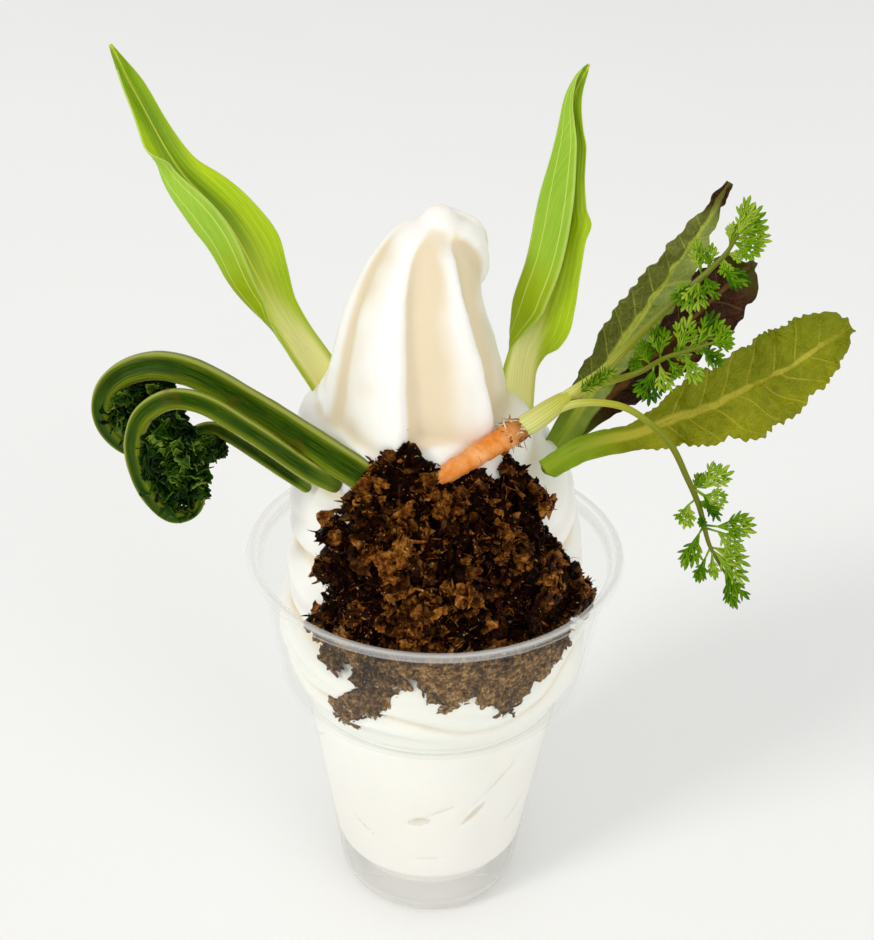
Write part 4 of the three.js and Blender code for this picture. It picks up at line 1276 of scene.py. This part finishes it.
# The fronds spread in a plane that is tipped back: its up and the way it faces.
PLANE_UP = np.array((0, 0.497, 0.868))
PLANE_OUT = np.array((0, -0.868, 0.497))


def root_radius(line):
    def radius(t, angle):
        place = xyz(3 * np.cos(angle), 3 * np.sin(angle), t * line.length)
        rings = 0.16 * noise(place * (0.3, 0.3, 1), 0.8, 81) + 0.26 * noise(place, 3, 82)
        return line.radius(t) + rings

    return radius


# Each frond has a stalk and fans of fingers: where on the stalk, length and heading in degrees of
# the little stalk, heading, spread, length and number of the fingers. Headings are from +X upwards.
FRONDS = (
    dict(
        stalk=(
            (24.8, -16, 158.2, 1.5), (28.9, -15, 161.4, 1.3), (37.6, -14.5, 168.5, 1.0),
            (45.2, -14.4, 177.9, 0.9), (54, -14, 187.7, 0.75), (58.5, -14, 192.6, 0.65),
            (62.4, -14, 197.4, 0.5), (64.4, -14, 201.6, 0.35),
        ),
        fans=(
            (0.76, 0.8, 215, 225, 26, 6.6, 4), (0.79, 1, 240, 255, 24, 8.6, 5),
            (0.81, 0.8, 290, 290, 22, 6.4, 4), (0.8, 1.2, 110, 108, 12, 8.4, 3),
            (0.83, 0.8, 90, 84, 12, 6.4, 3), (0.86, 1, 140, 150, 25, 4, 3),
            (0.88, 1.5, 315, 318, 18, 8.4, 5), (0.9, 0.6, 300, 285, 22, 5, 3),
            (0.92, 0.8, 350, 345, 24, 4.4, 3), (0.94, 1.6, 82, 78, 22, 5.4, 4),
            (0.97, 0.5, 330, 335, 22, 7, 4), (0.98, 0.5, 15, 10, 20, 8.4, 5),
            (1, 0.3, 45, 46, 26, 8.6, 6), (1, 0.3, 66, 70, 16, 8.6, 4),
        ),
        seed=91,
    ),
    dict(
        stalk=(
            (27.4, -15, 159.6, 1.2), (37.4, -13, 164.2, 0.9), (43.1, -12.6, 166, 0.75),
            (47, -13, 168, 0.65), (51.4, -15, 172.2, 0.55), (56.6, -16.6, 175, 0.45),
            (61.2, -18, 177.6, 0.3),
        ),
        fans=(
            (0.56, 0.5, 150, 150, 26, 4.6, 4), (0.6, 1, 112, 112, 30, 6, 5),
            (0.68, 1.4, 100, 98, 24, 7.4, 5), (0.79, 1.4, 75, 74, 24, 8, 5),
            (0.9, 1.4, 58, 56, 20, 9.4, 5), (1, 0.4, 40, 36, 22, 6.4, 4),
            (0.97, 0.8, 10, 6, 18, 6.4, 4), (0.92, 0.8, 330, 326, 18, 7.2, 4),
            (0.82, 1.2, 300, 296, 16, 8.2, 4), (0.72, 1.2, 305, 308, 18, 5.6, 4),
            (0.63, 2, 262, 258, 26, 8.4, 6), (0.66, 1.5, 292, 288, 18, 7.4, 4),
            (0.72, 1.4, 20, 16, 30, 5, 4), (0.84, 0.8, 30, 28, 30, 5, 4),
        ),
        seed=92,
    ),
    dict(
        stalk=(
            (22.5, -17.6, 156, 1.2), (24.8, -16.6, 157.4, 1.1), (30.9, -16, 160.3, 0.95),
            (37.4, -16, 160.9, 0.85), (43.3, -17, 160.2, 0.8), (49.4, -18, 156.6, 0.75),
            (54.6, -19, 151.5, 0.75), (58.9, -19.8, 143.7, 0.7), (62.5, -20.4, 136.4, 0.65),
            (66, -21.4, 126.2, 0.5), (68.3, -21.8, 122.1, 0.4), (70.9, -22, 118, 0.25),
        ),
        fans=(
            (0.652, 3.6, 355, 44, 24, 8.6, 5), (0.655, 4.6, 330, 344, 34, 6.2, 5),
            (0.655, 4.4, 325, 303, 9, 7.6, 3), (0.67, 0.4, 60, 58, 16, 5.6, 4),
            (0.7, 2.8, 220, 258, 26, 6.2, 5), (0.71, 0.5, 340, 342, 18, 3.2, 3),
            (0.75, 0.4, 280, 276, 14, 4.6, 3), (0.8, 4, 355, 4, 20, 9.8, 5),
            (0.81, 4, 345, 322, 20, 8.2, 4), (0.8, 3, 242, 252, 15, 9.6, 5),
            (0.885, 1.4, 350, 340, 14, 10.4, 4), (0.9, 1, 335, 316, 12, 11.4, 4),
            (0.885, 3.6, 246, 250, 11, 7.2, 4), (0.9, 1.6, 268, 276, 10, 6, 3),
            (1, 0.3, 288, 288, 9, 9.4, 4), (1, 0.3, 312, 312, 10, 8, 3),
        ),
        seed=93,
    ),
)


def heading(degrees, lift=0.0):
    a = math.radians(degrees)
    return unit(np.array((math.cos(a), 0, 0)) + math.sin(a) * PLANE_UP + lift * PLANE_OUT)


def fan(shape, base, way, spread, length, fingers, random):
    """A cut leaflet: fingers that part from one point, each with narrow teeth and a broader tip."""
    shade = random.random()
    tilt = random.uniform(-0.35, 0.35)
    for i in range(fingers):
        u = 2 * i / (fingers - 1) - 1
        lift = tilt + random.uniform(-0.15, 0.15)
        direction = heading(way + 1.15 * spread * u, lift)
        reach = length * (1 - 0.22 * abs(u) ** 1.5) * random.uniform(0.88, 1.06)
        tone = np.clip(shade + random.uniform(-0.25, 0.25), 0, 1)
        strip(shape, base, direction, PLANE_OUT, reach * 0.7, 0.5, tone, 0, 0.16, RIB)
        tip = base + direction * reach * 0.56
        strip(shape, tip, direction, PLANE_OUT, reach * 0.44, reach * 0.07 + 0.35, tone, 0.2, 0.13, FINGER)
        side = unit(np.cross(direction, PLANE_OUT))
        for share, size in ((0.36, 0.3), (0.6, 0.33)):
            for sign in (-1, 1):
                start = base + direction * reach * (share + random.uniform(-0.04, 0.04))
                turned = unit(direction + side * sign * random.uniform(0.5, 0.8))
                bend = random.uniform(-0.3, 0.5)
                wide = reach * 0.04 + 0.4
                strip(shape, start, turned, PLANE_OUT, reach * size, wide, tone, bend, 0.11, TOOTH)


def along_and_around(t, angle):
    return dict(along=t, around=angle)


def ribbed_radius(line, ribs, depth):
    def radius(t, angle):
        return line.radius(t) * (1 + depth * np.cos(ribs * angle) + 0.03 * np.cos(2 * ribs * angle + 1))

    return radius


def make_carrot():
    root = Line(CARROT_ROOT)
    shape = Shape()
    sweep(shape, root, (0, -0.6, 0.8), 130, 48, root_radius(root), values=along_and_around)
    piece("carrot_root", shape, carrot_material(), "carrot")
    crown_bits()
    stalks, leaves = Shape(), Shape()
    sheath = Line(SHEATH)
    sweep(
        stalks, sheath, (0, -0.87, 0.5), 44, 52, ribbed_radius(sheath, 11, 0.06),
        values=lambda t, angle: along_and_around(0.22 * t, 2 * angle),
    )
    for frond in FRONDS:
        line = Line(frond["stalk"])
        random = np.random.default_rng(frond["seed"])
        skin = ribbed_radius(line, 5, 0.08)
        sweep(stalks, line, (0, -0.87, 0.5), 90, 24, skin, values=along_and_around)
        for t, stem, stem_way, way, spread, length, fingers in frond["fans"]:
            start = line.at(np.array([t]))[0]
            strip(leaves, start, heading(stem_way), PLANE_OUT, stem, 0.6, 0.6, 0, 0.26, RIB)
            end = start + heading(stem_way) * stem * 0.85
            fan(leaves, end, way, spread, length, fingers, random)
    random = np.random.default_rng(94)
    bud = Line(BUD)
    for i in range(110):
        t = np.array([random.uniform(0, 0.9)])
        outward = unit(random.normal(size=3) + PLANE_OUT)
        way = unit(bud.along(t)[0] + outward * random.uniform(0.1, 0.7) + PLANE_UP * 0.25)
        start = bud.at(t)[0] + outward * bud.radius(t)[0] * 0.5
        strip(leaves, start, way, outward, random.uniform(1.6, 3.6), 0.45, random.random() * 0.8, 0.5, 0.16)
    piece("carrot_stalks", stalks, stalk_material(), "carrot")
    leaf_skin = green_blade_material(
        "carrot_leaflets", (0.24, "264800"), (0.42, "457200"), (0.6, "6a9204"), (0.85, "9ab434")
    )
    piece("carrot_leaflets", leaves, leaf_skin, "carrot")


def crown_bits():
    """Dry stubs and papery scraps round the crown of the root."""
    shape = Shape()
    random = np.random.default_rng(95)
    root = Line(CARROT_ROOT)
    for _ in range(64):
        t = np.array([random.uniform(0.84, 0.99)])
        along = root.along(t)[0]
        outward = unit(np.cross(along, random.normal(size=3)))
        start = root.at(t)[0] + outward * (root.radius(t)[0] + 0.02)
        way = unit(-along * random.uniform(-0.2, 1.0) + outward * 0.12 + random.normal(size=3) * 0.22)
        size = random.uniform(1, 2.6)
        strip(shape, start, way, outward, size, random.uniform(0.35, 0.8), random.random(), 0.25, 0.12)
    skin = green_blade_material(
        "carrot_crown", (0.2, "4a2408"), (0.42, "7a4a1c"), (0.62, "b8874a"), (0.85, "e6d2a8")
    )
    piece("carrot_crown", shape, skin, "carrot")


def carrot_material():
    recipe = Recipe("carrot_root")
    along, around = recipe.values("along", "around")
    patches = recipe.noise(120, 5, 0.65)
    rings = recipe.noise(1.0, 4, 0.6, recipe.flat_place(along * 30.0, around * 0.35))
    base = recipe.layers(
        patches.ramp((0.3, "be5a0c"), (0.46, "de832c"), (0.68, "f0b070")),
        (rings.ease(0.58, 0.72, 0, 0.5), "b5501c"),
        (along.ease(0.1, 0.5, 0.65, 0), "d8641e"),
        (along.ease(0.86, 0.98, 0, 0.8), "8f5a26"),
    )
    return recipe.surface(
        base,
        patches.ease(0.3, 0.7, 0.34, 0.5),
        recipe.bump(rings + patches * 0.6, 0.5, 0.35),
        glow=(0.1, (1.0, 0.4, 0.15), 1),
        Specular_IOR_Level=0.25,
    )


def stalk_material():
    recipe = Recipe("carrot_stalks")
    along, around = recipe.values("along", "around")
    tone = along * 1.5 + (around * 10.0).math("COSINE") * 0.06
    return recipe.surface(
        tone.ramp((0.0, "d8d68a"), (0.3, "b4b43c"), (0.6, "7e8414"), (0.95, "666e06")),
        recipe.noise(120, 2).ease(0.3, 0.7, 0.34, 0.48),
        recipe.bump(recipe.noise(400, 3), 0.15, 0.2),
        glow=(0.1, (0.7, 1.0, 0.3), 1),
        Specular_IOR_Level=0.2,
    )


# ---------------------------------------------------------------- the crumb heap
HEAP = dict(layer=6.4, shoulder=7, step=0.72, bed=2.6, seed=11)
# Its outline on the soft serve: direction in degrees from +X and height, clockwise from the left top.
HEAP_OUTLINE = (
    (-119, 144), (-112, 149), (-104, 151), (-97, 155), (-90, 150), (-82, 149), (-76, 147), (-69, 149),
    (-61, 147), (-52, 143), (-43, 149), (-38, 144), (-32, 137), (-37, 134), (-41, 132), (-37, 126),
    (-27, 115), (-21, 109), (-12, 101), (-24, 102), (-34, 104), (-33, 96), (-42, 96), (-47, 93),
    (-52, 93), (-57, 87), (-63, 81), (-68, 86), (-73, 91), (-76, 95), (-81, 90), (-88, 90), (-92, 94),
    (-97, 99), (-100, 95), (-104, 87), (-113, 81), (-123, 77), (-128, 80), (-127, 86), (-122, 90),
    (-117, 94), (-117, 98), (-127, 96), (-135, 101), (-138, 106), (-132, 112), (-131, 118),
    (-137, 121), (-131, 127), (-136, 131), (-127, 137),
)


def heap_place(angle, z):
    """Whether a place lies inside the heap's outline, and how far from the outline in mm."""
    angle, z = np.asarray(angle, float), np.asarray(z, float)
    inside = np.zeros(angle.shape, bool)
    nearest = np.full(angle.shape, 1e3)
    scale = math.radians(1) * 40
    ends = np.array(HEAP_OUTLINE, float)
    for (a0, z0), (a1, z1) in zip(ends, np.roll(ends, -1, axis=0)):
        crosses = (z0 > z) != (z1 > z)
        inside ^= crosses & (angle < (a1 - a0) * (z - z0) / (z1 - z0 if z1 != z0 else 1) + a0)
        px, pz, dx, dz = (angle - a0) * scale, z - z0, (a1 - a0) * scale, z1 - z0
        share = np.clip((px * dx + pz * dz) / (dx * dx + dz * dz), 0, 1)
        nearest = np.minimum(nearest, np.hypot(px - share * dx, pz - share * dz))
    return inside, nearest


def heap_point(angle, z, lift):
    """A point over the smooth soft serve, lift mm out from it, kept off the cup's wall. The crumbs
    bridge the seams."""
    turn = np.radians(angle)
    radius = smooth_cream_radius(turn, z) + lift
    x = lean_x(z) * (z > LEAN_START) + radius * np.cos(turn)
    y = lean_y(z) * (z > LEAN_START) + radius * np.sin(turn)
    return keep_off_wall(xyz(x, y, z), 1.0)


def held_in(points, room=1.2):
    """Presses points softly against the cup's inner wall, so that they stay uneven there."""
    reach = from_axis(points)
    start = wall_radius(points[..., 2]) - 0.12 - room
    over = np.where(points[..., 2] < CUP["height"] + 2, reach - start, 0)
    pressed = start + room * (1 - np.exp(-np.maximum(over, 0) / (1.3 * room)))
    share = np.where(over > 0, pressed / np.maximum(reach, 1e-6), 1)
    return points * xyz(share, share, 1)


def behind_wall(points):
    """How much crumbs lie behind the cup's wall, from 0 to 1. There their colour is painted paler, standing
    in for the wall's milky reflection.
    """
    top = CUP["height"] - 0.57 * (CUP["rim_radius"] - from_axis(points))
    return smooth((top - points[..., 2]) / 1.5)


def clumps(angle, z):
    """Where the crumbs lie thick, from about -1 to 1: clumps with gaps between them."""
    place = xyz(angle * 0.7, 0, z)
    return 0.6 * noise(place, 11, 12) + 0.55 * noise(place, 5.5, 13) + 0.25 * noise(place, 3, 15)


def heap_lift(angle, z, nearest):
    thickness = HEAP["layer"] - 1.5 + 4.0 * clumps(angle, z)
    return thickness * np.sqrt(np.clip(nearest / HEAP["shoulder"], 0.02, 1))


def make_heap_core():
    """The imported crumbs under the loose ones: a thick torn sheet over the soft serve."""
    step = HEAP["step"]
    angles = np.arange(-142, -4, step / 0.7)
    heights = np.arange(74, 158, step)
    angle, z = np.meshgrid(angles, heights, indexing="ij")
    inside, nearest = heap_place(angle, z)
    outer = heap_point(angle, z, heap_lift(angle, z, nearest) - 0.9)
    ridges = 0.45 - np.abs(noise(outer, 2.6, 31))
    fine = 0.45 - np.abs(noise(outer, 1.2, 32))
    deep = 2.2 * ridges + 1.0 * fine - 0.5 * behind_wall(outer)
    outward = unit(outer * (1, 1, 0.2) - np.array((0, 0, 20)))
    shake = np.stack([noise(outer, 1.5, 14 + k) for k in range(3)], -1) * 0.5
    outer = held_in(outer + outward * deep[..., None] + shake)
    inner = heap_point(angle, z, -2.6)
    cell = inside[:-1, :-1] & inside[1:, :-1] & inside[1:, 1:] & inside[:-1, 1:]
    rows, columns = angle.shape
    index = np.arange(rows * columns).reshape(rows, columns)
    a, b, c, d = index[:-1, :-1], index[1:, :-1], index[1:, 1:], index[:-1, 1:]
    quads = np.stack([a, b, c, d], -1)[cell]
    under = rows * columns
    walls = []
    padded = np.pad(cell, 1)
    for first, second, i, j in ((a, b, 0, -1), (b, c, 1, 0), (c, d, 0, 1), (d, a, -1, 0)):
        beside = padded[1 + i:padded.shape[0] - 1 + i, 1 + j:padded.shape[1] - 1 + j]
        edge = cell & ~beside
        walls.append(np.stack([second[edge], first[edge], first[edge] + under, second[edge] + under], -1))
    faces = np.vstack([quads, quads[:, ::-1] + under, *walls])
    points = np.vstack([outer.reshape(-1, 3), inner.reshape(-1, 3)])
    # Painted shade: the core is darker in its furrows and in the gaps between clumps.
    tone = 0.1 + 0.5 * ridges + 0.3 * clumps(angle, z) + 0.6 * behind_wall(outer) * noise(outer, 1.4, 33)
    tones = np.tile(np.clip(tone, 0, 1).ravel(), 2)
    used, faces = np.unique(faces, return_inverse=True)
    shape = Shape()
    pressed = behind_wall(points[used])
    shape.add(points[used], [faces.reshape(-1, 4)], shade=tones[used], pressed=pressed)
    piece("crumb_core", shape, crumb_material(), "crumb_heap")


def turns(random, count):
    """Random rotations as matrices."""
    q = unit(random.normal(size=(count, 4)))
    w, x, y, z = q.T
    rows = (
        (1 - 2 * (y * y + z * z), 2 * (x * y - z * w), 2 * (x * z + y * w)),
        (2 * (x * y + z * w), 1 - 2 * (x * x + z * z), 2 * (y * z - x * w)),
        (2 * (x * z - y * w), 2 * (y * z + x * w), 1 - 2 * (x * x + y * y)),
    )
    return np.stack([np.stack(row, -1) for row in rows], 1)


def scatter_places(random, count, bare=0.0):
    """Directions, heights and distances from the outline of places inside the heap. bare thins them
    out in the gaps between clumps."""
    found = []
    while sum(len(f[0]) for f in found) < count:
        angle = random.uniform(-139, -8, count)
        z = random.uniform(76, 156, count)
        inside, nearest = heap_place(angle, z)
        thick = smooth((clumps(angle, z) + 0.45) / 0.8)
        keep = inside & (random.random(count) < 1 - bare * (1 - thick))
        found.append((angle[keep], z[keep], nearest[keep]))
    return [np.concatenate(part)[:count] for part in zip(*found)]


def clear_of_stems(points, room):
    """Whether crumbs of that size lie clear of the root and the ferns' stems."""
    clear = np.ones(len(points), bool)
    lines = [(Line(CARROT_ROOT), 2.2, 0.45), *[(Line(f["stem"]), 3.0, 0.06) for f in FERNS.values()]]
    for line, radius, hidden in lines:
        seen = line.points[line.share >= hidden][::10]
        gap = np.linalg.norm(points[:, None] - seen[None], axis=-1).min(1)
        clear &= gap > radius + room * 0.5
    return clear


def make_crumbs(name, template, seed, count, sizes, stretch, lift, ragged, bare):
    """Scatters one kind of crumb over the heap, each torn into its own shape."""
    random = np.random.default_rng(seed)
    base, faces = template
    angle, z, nearest = scatter_places(random, count, bare)
    middle = heap_point(angle, z, heap_lift(angle, z, nearest) + random.uniform(*lift, count))
    size = random.uniform(0, 1, count) ** 1.8 * (sizes[1] - sizes[0]) + sizes[0]
    keep = clear_of_stems(middle, size)
    middle, size, shade_by_clump = middle[keep], size[keep], clumps(angle, z)[keep]
    count = len(middle)
    ratio = np.stack([np.ones(count), *[random.uniform(*pair, count) for pair in stretch]], -1)
    offset = random.uniform(0, 25, (count, 1, 3))
    coarse = noise(base[None] + offset, 0.75, seed + 1)[..., None]
    fine = np.abs(noise(base[None] + offset, 0.3, seed + 2))[..., None]
    body = base[None] * (1 + ragged * (coarse + 1.5 * fine - 0.35))
    body = np.einsum("nij,nvj->nvi", turns(random, count), body * ratio[:, None] * (size / 2)[:, None, None])
    points = held_in(middle[:, None] + body)
    # Painted shade: crumbs in the gaps between clumps are darker, besides their random tone.
    tone = np.clip(0.8 * random.random(count) + 0.09 + 0.48 * shade_by_clump, 0, 1)
    all_faces = (faces[None] + (np.arange(count) * len(base))[:, None, None]).reshape(-1, faces.shape[1])
    shape = Shape()
    pressed = np.repeat(behind_wall(middle), len(base))
    shape.add(points, [all_faces], shade=np.repeat(tone, len(base)), pressed=pressed)
    mesh = make_mesh(name, shape)
    mesh.shade_flat()
    piece(name, mesh, crumb_material(), "crumb_heap")


def flake_template(rows=7, columns=4):
    """A thin curled scrap, one unit long."""
    u, v = np.meshgrid(np.linspace(-1, 1, rows), np.linspace(-1, 1, columns), indexing="ij")
    narrow = 0.45 + 0.55 * np.sqrt(np.clip(1 - u * u, 0, 1))
    grid = np.stack([u, v * narrow, 0.35 * u * u + 0.25 * v * v], -1)
    shape = Shape()
    thin_solid(shape, grid, np.full((rows, columns), 0.1))
    return np.vstack(shape.points), np.vstack(shape.faces)


def make_fibres():
    """Fine torn threads and splinters that stick out of the crumbs."""
    random = np.random.default_rng(HEAP["seed"] + 60)
    angle, z, nearest = scatter_places(random, 760, 0.4)
    middle = heap_point(angle, z, heap_lift(angle, z, nearest) + random.uniform(-0.4, 0.5, len(angle)))
    middle = middle[clear_of_stems(middle, 2)]
    shape = Shape()
    for start in middle:
        outward = unit(start * (1, 1, 0) + (0, 0, 6))
        way = unit(np.cross(outward, random.normal(size=3)) + outward * random.uniform(-0.1, 0.5))
        length = random.uniform(1.4, 4.2)
        width = random.uniform(0.25, 0.7)
        tone, curl = random.uniform(0.3, 1), random.uniform(-0.8, 1.2)
        fibre = Shape()
        strip(fibre, start, way, outward, length, width, tone, curl, 0.1)
        held = held_in(fibre.points[0])
        shape.add(held, fibre.faces, shade=fibre.values["shade"][0], pressed=behind_wall(start))
    piece("crumb_fibres", shape, crumb_material(), "crumb_heap")


def make_heap():
    make_heap_core()
    seed = HEAP["seed"]
    thick, thin = ((0.55, 0.95), (0.45, 0.85)), ((0.35, 0.8), (0.6, 1.1))
    for name, template, own_seed, count, sizes, stretch, lift, ragged, bare in (
        ("crumb_chunks", icosphere(3), 0, 268, (2.4, 5.8), thick, (-1.2, 0.4), 0.6, 0.9),
        ("crumb_bits", icosphere(2), 10, 960, (1.2, 3.2), thick, (-0.8, 0.8), 0.55, 0.6),
        ("crumb_flakes", flake_template(), 20, 980, (1.2, 5.2), thin, (-0.3, 1.0), 0.4, 0.5),
        ("crumb_grains", icosphere(1), 40, 2600, (0.4, 1.3), thick, (-0.5, 0.7), 0.4, 0.2),
    ):
        make_crumbs(name, template, seed + own_seed, count, sizes, stretch, lift, ragged, bare)
    make_fibres()


@functools.cache
def crumb_material():
    recipe = Recipe("crumb")
    shade, pressed = recipe.values("shade", "pressed")
    patches, spots = recipe.noise(420, 6, 0.72), recipe.noise(720, 6, 0.8)
    dark = patches.ramp((0.34, "020000"), (0.5, "140400"), (0.62, "341304"), (0.76, "703e10"))
    light = patches.ramp((0.34, "280e02"), (0.46, "62320c"), (0.58, "a66a24"), (0.72, "e2ae60"))
    # Painted reflection: crumbs behind the cup's wall take paler, greyer tones for the wall's milky
    # reflection over them.
    veiled_dark = spots.ramp((0.38, "1c0c00"), (0.49, "4a2c0e"), (0.57, "7c582a"), (0.68, "b28c54"))
    veiled_light = spots.ramp((0.38, "3a2008"), (0.48, "6e4a1e"), (0.56, "a88048"), (0.68, "d8b882"))
    loose = recipe.mix(shade.ease(0.35, 0.95), dark, light)
    held = recipe.mix(shade.ease(0.2, 0.8), veiled_dark, veiled_light)
    flecks = recipe.noise(900, 2).ease(0.68, 0.72, 0, 0.7)
    return recipe.surface(
        recipe.layers(loose, (pressed, held), (flecks, "c4a062")),
        patches.ease(0.3, 0.75, 0.3, 0.16),
        recipe.bump(recipe.noise(700, 6, 0.8), 1.0, 0.6),
        Specular_IOR_Level=0.04,
    )


# ---------------------------------------------------------------- everything
make_camera()
make_stage()
make_cup()
make_cream_base()
make_cream()
hosta_skin = hosta_material()
leaf("hosta_left", HOSTA_LEFT, hosta_skin, "hosta_leaf_left")
leaf("hosta_right", HOSTA_RIGHT, hosta_skin, "hosta_leaf_right")
green_skin = lettuce_material(
    "lettuce_green", ("646c00", "7c8000", "8e900c"), "6a8414", "b4aa36", "5a320a", 0.02,
    "747c02", "767c06",
)
brown_skin = lettuce_material(
    "lettuce_brown", ("647426", "7d8a42", "949c56"), "64742c", "aab23e", "42240c", 0.14,
    "4c4e0e", "341c0a",
)
red_skin = lettuce_material(
    "lettuce_red", ("1e0c02", "361606", "4a2a0a"), "3a2610", "7a5626", "240c02", 0.3,
    "2e1606", "3e3a06",
)
leaf("lettuce_side", LETTUCE_SIDE, green_skin, "lettuce_leaf_side")
leaf("lettuce_upright", LETTUCE_UPRIGHT, brown_skin, "lettuce_leaf_upright")
leaf("lettuce_red", LETTUCE_RED, red_skin, "lettuce_leaf_red")
stem_skin = fern_stem_material()
curl_skin = green_blade_material(
    "fiddlehead_leaflets", (0.28, "020700"), (0.46, "0a1e00"), (0.64, "244600"), (0.9, "7c9630")
)
for fern_name, fern in FERNS.items():
    make_fern(fern_name, fern, stem_skin, curl_skin)
make_carrot()
make_heap()
